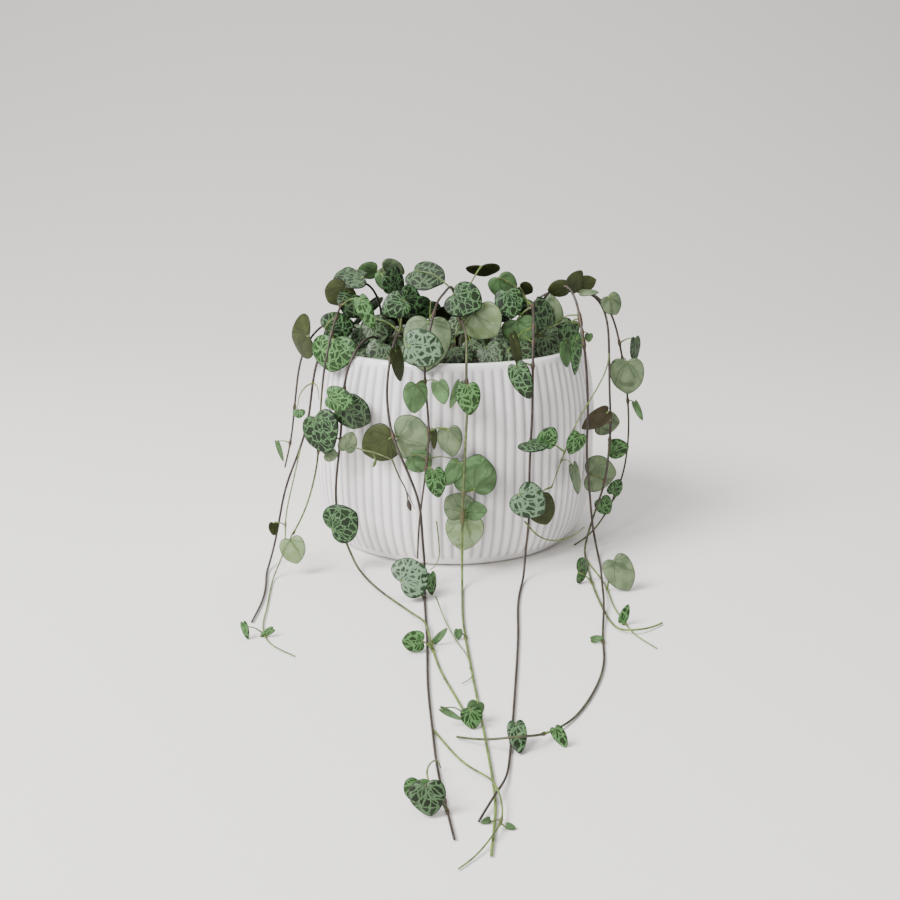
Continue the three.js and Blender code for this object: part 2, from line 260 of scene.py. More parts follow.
def turned(rings: list[tuple[float, float]], around: int) -> bpy.types.Object:
    """Models a round body as a disc raised through rings and closed at the last.

    Args:
        rings: The radius and height of each ring in millimetres, the disc's first.
        around: How many corners a ring has.

    Returns:
        The body, in object mode.
    """
    (radius, z), *rest = rings
    deselect()
    bpy.ops.mesh.primitive_circle_add(
        vertices=around, radius=radius * MM, fill_type="NGON", location=(0, 0, z * MM)
    )
    bpy.ops.object.transform_apply(location=True, rotation=False, scale=False)
    bpy.ops.object.mode_set(mode="EDIT")
    bpy.ops.mesh.select_all(action="SELECT")
    for next_radius, next_z in rest:
        bpy.ops.mesh.extrude_region_move(TRANSFORM_OT_translate={"value": (0, 0, (next_z - z) * MM)})
        grow = next_radius / radius
        bpy.ops.transform.resize(value=(grow, grow, 1), center_override=(0, 0, 0))
        radius, z = next_radius, next_z
    bpy.ops.mesh.poke()
    bpy.ops.object.mode_set(mode="OBJECT")
    return bpy.context.object


def nearest_on(mesh: bpy.types.Mesh, line: list[Vector]) -> np.ndarray:
    """The number of the point on a line, in millimetres, that each vertex is closest to."""
    centres = np.array([tuple(p) for p in line]) * MM
    return ((places(mesh)[:, None, :] - centres[None, :, :]) ** 2).sum(2).argmin(1)


# ---- finishes -----------------------------------------------------------------------------


def new_material(name: str) -> tuple[bpy.types.Material, bpy.types.NodeTree, bpy.types.Node]:
    """Starts an empty material.

    Args:
        name: The material's name.

    Returns:
        The material, its node tree and its surface shader.
    """
    material = bpy.data.materials.new(name)
    material.use_nodes = True
    tree = material.node_tree
    tree.nodes.clear()
    shader = add(tree, "ShaderNodeBsdfPrincipled")
    add(tree, "ShaderNodeOutputMaterial", {"Surface": shader.outputs["BSDF"]})
    return material, tree, shader


def mixed(tree: bpy.types.NodeTree, share: object, first: object, second: object) -> bpy.types.NodeSocket:
    """Mixes two colours, each a socket or a linear colour, and returns the result's socket."""
    node = add(tree, "ShaderNodeMix", {0: share, 6: first, 7: second}, data_type="RGBA")
    return node.outputs[2]


def sums(
    tree: bpy.types.NodeTree, operation: str, first: object, second: object = 0.0
) -> bpy.types.NodeSocket:
    """Works out a sum on one or two numbers, each a socket or a value."""
    return add(tree, "ShaderNodeMath", {0: first, 1: second}, operation=operation).outputs[0]


def ramped(tree: bpy.types.NodeTree, value: object, low: object, high: object) -> bpy.types.NodeSocket:
    """Turns a value into 0 below low and 1 above high, with a smooth step between."""
    node = add(
        tree, "ShaderNodeMapRange", {"Value": value, "From Min": low, "From Max": high},
        interpolation_type="SMOOTHSTEP",
    )
    return node.outputs["Result"]


def attribute(tree: bpy.types.NodeTree, name: str) -> bpy.types.NodeSocket:
    """Reads a number painted on the mesh."""
    return add(tree, "ShaderNodeAttribute", attribute_name=name).outputs["Fac"]


def grain(tree: bpy.types.NodeTree, size_mm: float, detail: float) -> bpy.types.NodeSocket:
    """Adds noise of a real size over an object, from 0 to 1.

    Args:
        tree: The material's node tree.
        size_mm: The size of its patches, in millimetres.
        detail: How many finer layers it has.

    Returns:
        The noise's socket.
    """
    place = add(tree, "ShaderNodeTexCoord").outputs["Object"]
    inputs = {"Vector": place, "Scale": 1 / (size_mm * MM), "Detail": detail}
    return add(tree, "ShaderNodeTexNoise", inputs).outputs["Fac"]


def surfaced(
    shader: bpy.types.Node, colour: object, height: object, strength: float, depth_mm: float
) -> None:
    """Gives a material's shader its colour and a fine relief.

    Args:
        shader: The material's surface shader.
        colour: The socket with its colour.
        height: The socket with its relief, from 0 to 1.
        strength: How much of the relief shows.
        depth_mm: The height of the relief.
    """
    tree = shader.id_data
    tree.links.new(colour, shader.inputs["Base Color"])
    relief = {"Height": height, "Strength": strength, "Distance": depth_mm * MM}
    bump = add(tree, "ShaderNodeBump", relief)
    tree.links.new(bump.outputs[0], shader.inputs["Normal"])


def set_inputs(shader: bpy.types.Node, **values: object) -> None:
    """Sets a shader's even values, each named as its input with _ for a space."""
    for name, value in values.items():
        shader.inputs[name.replace("_", " ")].default_value = value


@dataclass(frozen=True)
class BladePlace:
    """Where a point lies on a leaf blade, as the sockets that both faces' patterns read."""

    flat: bpy.types.NodeSocket
    angle: bpy.types.NodeSocket
    reach: bpy.types.NodeSocket
    seed: bpy.types.NodeSocket
    rim: bpy.types.NodeSocket

    @staticmethod
    def on(tree: bpy.types.NodeTree) -> "BladePlace":
        """Adds the nodes that read a blade's own map and attributes.

        Args:
            tree: The material's node tree.

        Returns:
            The sockets: the flat place, the angle and distance from the notch, the leaf's own
            number, and how close the point is to the margin.
        """
        flat = add(tree, "ShaderNodeUVMap", uv_map=BLADE_UV).outputs[0]
        parts = add(tree, "ShaderNodeSeparateXYZ", {0: flat})
        down = sums(tree, "MULTIPLY", parts.outputs[1], -1.0)
        angle = sums(tree, "ARCTAN2", parts.outputs[0], down)
        reach = add(tree, "ShaderNodeVectorMath", {0: flat}, operation="LENGTH").outputs["Value"]
        return BladePlace(flat, angle, reach, attribute(tree, "seed"), attribute(tree, "rim"))

    def noise(self, tree: bpy.types.NodeTree, scale: float, detail: float) -> bpy.types.Node:
        """Adds noise over the blade that is different on each leaf."""
        inputs = {"Vector": self.flat, "W": self.seed, "Scale": scale, "Detail": detail}
        return add(tree, "ShaderNodeTexNoise", inputs, noise_dimensions="4D")


@dataclass(frozen=True)
class MarbledLeaf:
    """The upper face of a heart leaf, a waxy living skin.

    Pale silvery veins spread from the notch and join into a web around dark cells, and the
    margin stays plain and dark. The eye reads it as marbling, with a soft waxy shine.
    """

    name: str
    cell: str  # the green between the veins
    deep: str  # the same green in its darkest patches
    vein: str
    margin: str
    vein_mm: float  # half-width of a vein
    cell_mm: float = 4.2
    rays: float = 2.7  # cells side by side in one radian round the notch
    ray_mm: float = 4.6  # length of a cell outwards
    wobble: float = 1.1
    warp: tuple[float, float, float] = (0.2, 0.2, 0.0)  # how far the web is pushed out of shape
    web_share: float = 1.5  # how much wider the gaps of the web count than those of the rays
    first_ray: float = 1.6  # width of a ray's cell at the notch, in millimetres
    soft: tuple[float, float] = (0.6, 1.5)  # where a vein starts and ends fading, in half-widths
    patch: tuple[float, float] = (0.35, 0.65)  # noise levels between which deep turns to cell
    edge: tuple[float, float] = (0.9, 0.97)  # where the margin starts and is full
    roughness: float = 0.44

    def material(self) -> bpy.types.Material:
        """Makes the material."""
        material, tree, shader = new_material(self.name)
        at = BladePlace.on(tree)
        wobble = at.noise(tree, 6.0, 1.5)
        bent = sums(tree, "MULTIPLY", wobble.outputs["Fac"], self.wobble)
        fan = add(
            tree, "ShaderNodeCombineXYZ",
            {
                0: sums(tree, "ADD", sums(tree, "MULTIPLY", at.angle, self.rays), bent),
                1: sums(tree, "ADD", sums(tree, "MULTIPLY", at.reach, UV_MM / self.ray_mm), at.seed),
            },
        ).outputs[0]
        rays = self.cells(tree, fan)
        ray_width = sums(tree, "MULTIPLY", at.reach, 0.5 * UV_MM / self.rays)
        ray_size = sums(tree, "ADD", ray_width, self.first_ray)
        ray_gap = sums(tree, "MULTIPLY", rays, ray_size)
        shifted = add(
            tree, "ShaderNodeVectorMath", {0: wobble.outputs["Color"], 1: self.warp, 2: at.flat},
            operation="MULTIPLY_ADD",
        ).outputs[0]
        moved = add(tree, "ShaderNodeVectorMath", {0: shifted, 1: at.seed}, operation="ADD").outputs[0]
        scale = {0: moved, "Scale": UV_MM / self.cell_mm}
        scaled = add(tree, "ShaderNodeVectorMath", scale, operation="SCALE").outputs[0]
        web_gap = sums(tree, "MULTIPLY", self.cells(tree, scaled), self.cell_mm * self.web_share)
        nearest = sums(tree, "MINIMUM", web_gap, ray_gap)
        patchy = at.noise(tree, 3.0, 0.0).outputs["Fac"]
        width = sums(tree, "MULTIPLY", sums(tree, "ADD", patchy, 0.5), self.vein_mm)
        inner, outer = [sums(tree, "MULTIPLY", width, share) for share in self.soft]
        solid = ramped(tree, nearest, inner, outer)
        edge = ramped(tree, at.rim, *self.edge)
        cell = mixed(tree, ramped(tree, patchy, *self.patch), linear(self.deep), linear(self.cell))
        marbled = mixed(tree, solid, linear(self.vein), cell)
        colour = mixed(tree, edge, marbled, linear(self.margin))
        surfaced(shader, colour, solid, 0.35, 0.12)
        set_inputs(shader, Roughness=self.roughness, IOR=LEAF_IOR, Specular_IOR_Level=0.4)
        return material

    @staticmethod
    def cells(tree: bpy.types.NodeTree, vector: bpy.types.NodeSocket) -> bpy.types.NodeSocket:
        """Adds a pattern of cells and gives the distance to the nearest line between two."""
        return add(
            tree, "ShaderNodeTexVoronoi", {"Vector": vector, "Scale": 1.0},
            voronoi_dimensions="2D", feature="DISTANCE_TO_EDGE",
        ).outputs["Distance"]


@dataclass(frozen=True)
class PlainLeaf:
    """The underside of a heart leaf: smooth and plain, paler or more olive than the top.

    Fine darker veins fan out from the notch, there are a few specks, and a thin dark line
    follows the margin. It looks soft and nearly matt.
    """

    name: str
    light: str
    dark: str
    margin: str
    fan: float = 1.25  # veins side by side in one radian round the notch
    stretch: float = 0.22  # how little a vein changes outwards
    vein_mm: tuple[float, float] = (0.28, 0.08)  # how far from its middle a vein fades and is full
    vein_strength: float = 0.42
    speck_gap_mm: float = 3.5
    edge: tuple[float, float] = (0.93, 0.975)  # where the dark line starts and is full
    roughness: float = 0.5

    def material(self) -> bpy.types.Material:
        """Makes the material."""
        material, tree, shader = new_material(self.name)
        at = BladePlace.on(tree)
        cloud = at.noise(tree, 2.2, 3.0).outputs["Fac"]
        fan = add(
            tree, "ShaderNodeCombineXYZ",
            {
                0: sums(tree, "ADD", sums(tree, "MULTIPLY", at.angle, self.fan), cloud),
                1: sums(tree, "MULTIPLY", at.reach, self.stretch),
                2: sums(tree, "MULTIPLY", at.seed, 5.3),  # far enough apart to differ
            },
        ).outputs[0]
        cells = {"Vector": fan, "Scale": 1.0}
        radial = add(tree, "ShaderNodeTexVoronoi", cells, feature="DISTANCE_TO_EDGE")
        away = sums(tree, "MULTIPLY", radial.outputs["Distance"], at.reach)
        vein_mm = sums(tree, "MULTIPLY", away, UV_MM / self.fan)
        vein = sums(tree, "MULTIPLY", ramped(tree, vein_mm, *self.vein_mm), self.vein_strength)
        speck = add(
            tree, "ShaderNodeTexVoronoi",
            {"Vector": at.flat, "W": at.seed, "Scale": UV_MM / self.speck_gap_mm},
            voronoi_dimensions="4D", feature="F1",
        )
        dots = sums(tree, "MULTIPLY", ramped(tree, speck.outputs["Distance"], 0.1, 0.05), 0.6)
        body = mixed(tree, ramped(tree, cloud, 0.3, 0.7), linear(self.dark), linear(self.light))
        lined = mixed(tree, sums(tree, "MAXIMUM", vein, dots), body, linear(self.margin))
        edge = ramped(tree, at.rim, *self.edge)
        colour = mixed(tree, edge, lined, linear(self.margin))
        surfaced(shader, colour, vein, 0.3, 0.15)
        set_inputs(shader, Roughness=self.roughness, IOR=LEAF_IOR, Specular_IOR_Level=0.3)
        return material


@dataclass(frozen=True)
class StemBark:
    """The skin of stems, shoots and leaf stalks.

    Old growth is wiry and purple-brown, new growth is smooth and green, and one runs into the
    other along a stem. The swollen joints where leaves sit are a warmer brown.
    """

    name: str = "stem_skin"
    old: str = "#291f1a"
    old_light: str = "#3d312a"
    young: str = "#6f893a"
    young_dark: str = "#47572a"
    joint: str = "#483622"
    grain_mm: float = 2.5
    roughness: float = 0.5

    def material(self) -> bpy.types.Material:
        """Makes the material."""
        material, tree, shader = new_material(self.name)
        patches = grain(tree, self.grain_mm, 2.0)
        broad = grain(tree, self.grain_mm / 0.12, 1.0)
        old = mixed(tree, ramped(tree, patches, 0.35, 0.7), linear(self.old), linear(self.old_light))
        young = mixed(tree, ramped(tree, patches, 0.3, 0.7), linear(self.young_dark), linear(self.young))
        age = sums(tree, "ADD", attribute(tree, "youth"), sums(tree, "MULTIPLY", broad, 0.5))
        aged = mixed(tree, ramped(tree, age, 0.45, 1.05), old, young)
        swollen = sums(tree, "MULTIPLY", attribute(tree, "joint"), 0.7)
        colour = mixed(tree, swollen, aged, linear(self.joint))
        surfaced(shader, colour, patches, 0.3, 0.1)
        set_inputs(shader, Roughness=self.roughness)
        return material


@dataclass(frozen=True)
class SatinGlaze:
    """Stoneware under an off-white satin glaze, dipped and fired.

    The glaze is near white over the rounded ribs, and the grooves are painted a little greyer
    as painted shade. Faint mottling and a soft broad highlight show that it is fired, not painted.
    """

    name: str = "off_white_satin_glaze"
    crest: str = "#efecec"
    # painted shade: the greyer colour that the grooves are painted
    groove: str = "#b7b0b4"
    mottle_mm: float = 9.0
    orange_peel_mm: float = 0.8
    roughness: tuple[float, float] = (0.14, 0.27)  # the glossiest and the mattest patches

    def material(self) -> bpy.types.Material:
        """Makes the material."""
        material, tree, shader = new_material(self.name)
        cloud = grain(tree, self.mottle_mm, 3.0)
        peel = grain(tree, self.orange_peel_mm, 1.0)
        # Painted shade: the grooves, with a little random mottle, turn the glaze towards the groove grey.
        groove_shade_and_mottle = sums(tree, "ADD", attribute(tree, "groove"), sums(tree, "MULTIPLY", cloud, 0.3))
        colour = mixed(tree, ramped(tree, groove_shade_and_mottle, 0.15, 1.2), linear(self.crest), linear(self.groove))
        surfaced(shader, colour, peel, 0.12, 0.05)
        glossy, matt = self.roughness
        rough = add(tree, "ShaderNodeMapRange", {"Value": cloud, "To Min": glossy, "To Max": matt})
        tree.links.new(rough.outputs["Result"], shader.inputs["Roughness"])
        set_inputs(shader, IOR=1.5, Coat_Weight=0.4, Coat_Roughness=0.15)
        return material


@dataclass(frozen=True)
class PottingMix:
    """Peat-based potting mix: dark, crumbly and matt, with paler fibres and bits of bark."""

    name: str = "potting_mix_crumbs"
    dark: str = "#19130d"
    light: str = "#3d3122"
    grit_mm: float = 1.4

    def material(self) -> bpy.types.Material:
        """Makes the material."""
        material, tree, shader = new_material(self.name)
        grit = grain(tree, self.grit_mm, 5.0)
        colour = mixed(tree, ramped(tree, grit, 0.4, 0.68), linear(self.dark), linear(self.light))
        surfaced(shader, colour, grit, 0.8, 0.6)
        set_inputs(shader, Roughness=0.95)
        return material


@dataclass(frozen=True)
class MattPaper:
    """Studio background paper: even, pale and matt."""

    name: str = "studio_paper"
    colour: str = "#efece8"

    def material(self) -> bpy.types.Material:
        """Makes the material."""
        material, _, shader = new_material(self.name)
        set_inputs(shader, Base_Color=linear(self.colour), Roughness=0.9)
        return material


class Skin(Enum):
    """The look of the leaf face that is towards the front. The first five are upper faces."""

    DARK = MarbledLeaf("leaf_top_dark", "#122507", "#0d1b07", "#4c6d46", "#0e1d08", 0.2)
    GREY = MarbledLeaf("leaf_top_grey", "#1b2a13", "#121c0b", "#496242", "#141f0c", 0.27)
    SILVER = MarbledLeaf("leaf_top_silver", "#293c27", "#1c2c19", "#678165", "#1f331b", 0.38, 4.6)
    BRIGHT = MarbledLeaf("leaf_top_bright", "#1f3d11", "#172e0c", "#517a46", "#1a350e", 0.25)
    DIM = MarbledLeaf("leaf_top_shaded", "#313a27", "#212817", "#5b7253", "#1b2113", 0.24)
    # The olive underside below is a darker copy of the underside: painted shade for undersides that lie
    # in shade.
    OLIVE = PlainLeaf("leaf_back_olive_painted_shade", "#394220", "#2d3316", "#171d0b")
    GREEN = PlainLeaf("leaf_back_green", "#5b7e50", "#475d3c", "#1d2e14")
    SAGE = PlainLeaf("leaf_back_sage", "#728260", "#54654a", "#242e1d")
    PALE = PlainLeaf("leaf_back_pale", "#8a9f79", "#728558", "#2f3e25")
    BROWN = PlainLeaf("leaf_back_brown", "#413a27", "#312b1b", "#19180d")

    @property
    def back(self) -> "Skin":
        """The look of the leaf's other face."""
        pairs = {
            Skin.DARK: Skin.OLIVE, Skin.GREY: Skin.SAGE, Skin.SILVER: Skin.SAGE,
            Skin.BRIGHT: Skin.GREEN, Skin.DIM: Skin.OLIVE, Skin.OLIVE: Skin.DARK,
            Skin.GREEN: Skin.BRIGHT, Skin.SAGE: Skin.GREY, Skin.PALE: Skin.SILVER,
            Skin.BROWN: Skin.DIM,
        }
        return pairs[self]


def dress(finish: object) -> bpy.types.Material:
    """Finds a finish's material, or makes it the first time.

    Args:
        finish: One of the finish classes.

    Returns:
        The material.
    """
    return bpy.data.materials.get(finish.name) or finish.material()


def place_piece(obj: bpy.types.Object, nodes: list[str]) -> None:
    """Hands a finished piece to the frame.

    Args:
        obj: The piece, with its place in its mesh.
        nodes: The CAD nodes that it stands for.
    """
    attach(obj, "root")
    if nodes:
        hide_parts(*nodes)
    LOG.info("%s: %d faces", obj.name, len(obj.data.polygons))


# ---- pot and potting mix ------------------------------------------------------------------


@dataclass
class RibbedPot:
    """The thrown and fluted pot: rounded foot corner, ribbed wall, smooth thin lip, plain inside."""

    height: float = 93.0
    rim_radius: float = 61.5
    belly_radius: float = 67.5
    belly_height: float = 57.0
    base_radius: float = 57.3
    foot_radius: float = 52.0
    taper: float = 4.3
    wall: float = 4.0
    floor: float = 6.0
    ribs: int = 90
    steps_per_rib: int = 8
    rib_depth: float = 0.8
    rib_foot: tuple[float, float] = (0.8, 4.5)  # heights between which the ribs rise from the foot
    rib_head: tuple[float, float] = (91.0, 88.6)  # and between which they die away under the lip
    rib_sharpness: float = 0.45  # under 1 the crests are broad and the grooves narrow
    row_height: float = 3.4
    wall_rows: tuple[float, float] = (5.0, 89.6)  # the rows of the outer wall start and end here
    corner: tuple[tuple[float, float], ...] = ((54.2, 0.15), (56.0, 0.8), (57.1, 2.0), (57.9, 3.4))
    neck: tuple[float, ...] = (90.4, 91.2, 92.0)  # heights of the smooth band under the lip
    lip: tuple[tuple[float, float], ...] = (
        (61.35, 92.6), (60.8, 92.95), (60.0, 93.0), (59.2, 92.95), (58.6, 92.6), (58.2, 92.0),
    )
    inner_rows: tuple[float, ...] = (90.5, 88.0, 84.0, 70.0, 50.0, 30.0, 14.0)
    inner_corner: tuple[float, float] = (2.5, 1.5)  # the inside's corner, across and up
    drift: float = 0.18  # unevenness of the hand-finished wall
    drift_size: float = 30.0

    def wall_radius(self, z: float) -> float:
        """The outside radius at a height, before ribs.

        Args:
            z: The height, in millimetres.

        Returns:
            The radius, in millimetres.
        """
        if z >= self.belly_height:
            share = (z - self.belly_height) / (self.height - self.belly_height)
            return self.belly_radius - (self.belly_radius - self.rim_radius) * share**2
        share = (self.belly_height - z) / self.belly_height
        return self.belly_radius - (self.belly_radius - self.base_radius) * share**self.taper

    def profile(self) -> list[tuple[float, float]]:
        """The rings of the pot as radius and height, from the foot, over the lip, to the floor.

        Returns:
            The rings, in millimetres.
        """
        low, high = self.wall_rows
        rows = round((high - low) / self.row_height)
        outer = [low + (high - low) * row / rows for row in range(rows + 1)] + [*self.neck]
        across, up = self.inner_corner
        inner = [*self.inner_rows, self.floor + up]
        return [
            (self.foot_radius, 0.0),
            *self.corner,
            *((self.wall_radius(z), z) for z in outer),
            *self.lip,
            *((self.wall_radius(z) - self.wall, z) for z in inner),
            (self.wall_radius(self.floor) - self.wall - across, self.floor),
        ]

    def rib(self, angle: float, z: float) -> tuple[float, float]:
        """How far a rib's surface lies inside its crest, and how deep in a groove that is.

        Args:
            angle: The place round the pot, in radians.
            z: The height, in millimetres.

        Returns:
            The inset in millimetres, and the share of a full groove from 0 to 1.
        """
        foot, head = self.rib_foot, self.rib_head
        rise = min(max((z - foot[0]) / (foot[1] - foot[0]), 0.0), 1.0)
        fall = min(max((head[0] - z) / (head[0] - head[1]), 0.0), 1.0)
        strength = math.sin(rise * math.pi / 2) * math.sin(fall * math.pi / 2)
        crest = (0.5 + 0.5 * math.cos(self.ribs * angle)) ** self.rib_sharpness
        groove = (1.0 - crest) * strength
        return self.rib_depth * groove, groove

    def build(self) -> None:
        """Models the pot, glazes it and hands it over."""
        pot = turned(self.profile(), self.ribs * self.steps_per_rib)
        rows = places(pot.data) / MM
        grooves = np.zeros(len(rows))
        for i, (x, y, z) in enumerate(rows):
            reach = math.hypot(x, y)
            if reach < self.wall_radius(z) - 1.0 or not self.rib_foot[0] < z < self.rib_head[0]:
                continue
            inset, grooves[i] = self.rib(math.atan2(y, x), z)
            drift = self.drift * noise.noise(Vector((x, y, z)) / self.drift_size)
            rows[i, :2] *= (reach - inset + drift) / reach
        put(pot.data, rows * MM)
        # The groove share also tells the glaze where to paint shade in the grooves.
        paint(pot.data, "groove", grooves)
        pot.name = pot.data.name = "ribbed_pot"
        clean(pot)
        pot.data.materials.append(dress(SatinGlaze()))
        place_piece(pot, ["pot"])


@dataclass
class MixFill:
    """The potting mix: a crumbled top, level but uneven, in a plug that fills the pot."""

    pot: RibbedPot
    top: float = 84.3
    gap: float = 5.0  # from the pot's outside to the mix
    around: int = 120
    inner_rings: int = 26
    crumbs: int = 300
    crumb_radius: tuple[float, float] = (0.5, 1.7)
    crumb_squash: tuple[float, float] = (0.6, 1.3)
    crumb_flat: float = 0.6
    crumb_edge: float = 1.5  # crumbs stay this far from the wall
    rows: tuple[float, ...] = (20.0, 40.0, 60.0, 75.0)
    humps: tuple[float, float] = (0.9, 14.0)  # height and size of the broad unevenness
    lumps: tuple[float, float] = (0.5, 3.2)  # and of the fine one

    def surface(self, x: float, y: float) -> float:
        """The height of the uneven top at a place, in millimetres.

        Args:
            x: The place to the right, in millimetres.
            y: The place to the back, in millimetres.

        Returns:
            The height.
        """
        broad = self.humps[0] * noise.noise(Vector((x, y, 0.0)) / self.humps[1])
        fine = self.lumps[0] * noise.noise(Vector((x, y, 40.0)) / self.lumps[1])
        return self.top + broad + fine

    def build(self) -> None:
        """Models the plug and its crumbs and hands them over as one piece."""
        heights = (self.pot.floor + 1.0, *self.rows, self.top)
        rings = [(self.pot.wall_radius(z) - self.gap, z) for z in heights]
        edge = rings[-1][0]
        shares = [1 - ring / self.inner_rings for ring in range(1, self.inner_rings)]
        rings += [(edge * share, self.top) for share in shares]
        plug = turned(rings, self.around)
        rows = places(plug.data) / MM
        for row in rows:
            if row[2] > self.top - 0.1:
                row[2] = self.surface(row[0], row[1])
        put(plug.data, rows * MM)
        clean(plug)
        whole = joined([plug, *self.scatter()], "potting_mix_fill")
        whole.data.materials.append(dress(PottingMix()))
        place_piece(whole, ["potting_mix"])

    def scatter(self) -> list[bpy.types.Object]:
        """Models one crumb and copies it over the top, each copy turned and squashed.

        Returns:
            The copies.
        """
        draw = random.Random(11)
        deselect()
        bpy.ops.mesh.primitive_ico_sphere_add(subdivisions=1, radius=1.0, location=(0, 0, 0))
        crumb = bpy.context.object
        bpy.ops.object.mode_set(mode="EDIT")
        bpy.ops.mesh.select_all(action="SELECT")
        bpy.ops.transform.vertex_random(offset=0.22, seed=3)
        bpy.ops.object.mode_set(mode="OBJECT")
        reach = self.pot.wall_radius(self.top) - self.gap - self.crumb_edge
        copies = []
        for number in range(self.crumbs):
            angle, distance = draw.uniform(0, 2 * math.pi), reach * math.sqrt(draw.random())
            x, y = distance * math.cos(angle), distance * math.sin(angle)
            size = draw.uniform(*self.crumb_radius)
            squash = [draw.uniform(*self.crumb_squash) * size * MM for _ in range(3)]
            squash[2] *= self.crumb_flat
            turn = Matrix.Rotation(draw.uniform(0, 2 * math.pi), 4, "Z")
            place = Matrix.Translation(Vector((x, y, self.surface(x, y))) * MM)
            piece = copy_of(crumb, f"crumb_{number:03d}")
            piece.data.transform(place @ turn @ Matrix.Diagonal((*squash, 1.0)))
            copies.append(piece)
        bpy.data.objects.remove(crumb)
        return copies


# ---- stems --------------------------------------------------------------------------------

ROOT = 83.5  # stems start just under the top of the mix, in millimetres
LYING = 0.85  # height of a stem's centre line where it lies on the surface
OVER = 3.0  # and where it crosses over another stem
SHOOT = 0.7  # and of a thin shoot's centre line where it lies


class Line(Enum):
    """The main stems, by where they hang. Each value is the stem's CAD node."""

    LEFT_SHORT = "stem_left_short"
    LEFT_LONG = "stem_left_long"
    LEFT_FRONT = "stem_left_front"
    LEFT_RUNNER = "stem_left_runner"
    MIDDLE_LONG = "stem_middle_long"
    MIDDLE_ARCH = "stem_middle_arch"
    MIDDLE_GREEN = "stem_middle_green"
    RIGHT_FRONT = "stem_right_front"
    RIGHT_CURL = "stem_right_curl"
    RIGHT_FORKED = "stem_right_forked"
    RIGHT_OUTER = "stem_right_outer"


@dataclass
class Stem:
    """A main stem with the side shoots that grow from it.

    Its routes are given points in millimetres, from the potting mix to the tip. youth is
    how green it is at its root and at its tip, from 0 to 1.
    """

    name: str
    youth: tuple[float, float]
    route: list[Point]
    shoots: list[list[Point]] = field(default_factory=list)
    radius: float = 0.58
    shoot_radius: float = 0.36
    spacing: float = 2.0
    settling: int = 12  # how often each point is drawn towards its neighbours
    joints: list[Vector] = field(default_factory=list)  # where leaf stalks sit on it
    rests: float = 0.03  # a swollen joint is flattened at this height where it lies
    joint_reach: float = 1.0
    joint_swell: float = 0.8
    thinning: float = 0.3  # how much thinner the tip is than the root
    greening: float = 1.3  # above 1 the green keeps to the tip
    shoot_youth: tuple[float, float] = (0.7, 1.0)

    def lines(self) -> list[list[Vector]]:
        """The smooth centre lines of the stem and of each shoot.

        Returns:
            The stem's line and then the shoots', as points in millimetres.
        """
        found = []
        for points in (self.route, *self.shoots):
            line = smooth_route(points, self.spacing)
            for _ in range(self.settling):
                inner = [(line[i - 1] + 2 * line[i] + line[i + 1]) / 4 for i in range(1, len(line) - 1)]
                line = [line[0], *inner, line[-1]]
            found.append(line)
        return found

    def nearest(self, point: Vector) -> Vector:
        """The place on the stem's centre lines that is closest to a point."""
        return min((p for line in self.lines() for p in line), key=lambda p: (p - point).length)

    def swelling(self, place: Vector) -> float:
        """How swollen the stem is at a place, 1 in the middle of a joint and 0 away from one."""
        gaps = [(place - joint).length / self.joint_reach for joint in self.joints]
        return max((math.exp(-(gap**2)) for gap in gaps), default=0.0)

    def strand(
        self, name: str, line: list[Vector], radius: float, youth: tuple[float, float]
    ) -> bpy.types.Object:
        """Models one strand as a tube that tapers to its tip and swells at its joints.

        Args:
            name: The strand's name.
            line: Its centre line.
            radius: Its radius at the root.
            youth: How green it is at its root and at its tip.

        Returns:
            The strand, painted with its youth and its joints.
        """
        last = len(line) - 1
        swells = [self.swelling(place) for place in line]
        radii = [
            radius * (1.0 - self.thinning * (i / last) ** 2) * (1.0 + self.joint_swell * swell)
            for i, swell in enumerate(swells)
        ]
        obj = tube(name, line, radii)
        rows = places(obj.data)
        rows[:, 2] = np.maximum(rows[:, 2], self.rests * MM)
        put(obj.data, rows)
        nearest = nearest_on(obj.data, line)
        share = nearest / last
        paint(obj.data, "youth", youth[0] + (youth[1] - youth[0]) * share**self.greening)
        paint(obj.data, "joint", np.array(swells)[nearest])
        return obj

    def build(self, node: str) -> None:
        """Models the stem with its shoots and hands them over for their CAD node.

        Args:
            node: The CAD node.
        """
        main, *sides = self.lines()
        strands = [self.strand(self.name, main, self.radius, self.youth)]
        for number, side in enumerate(sides):
            name = f"{self.name}_{number}"
            strands.append(self.strand(name, side, self.shoot_radius, self.shoot_youth))
        whole = joined(strands, f"vine_{self.name}")
        whole.data.materials.append(dress(StemBark()))
        place_piece(whole, [node])


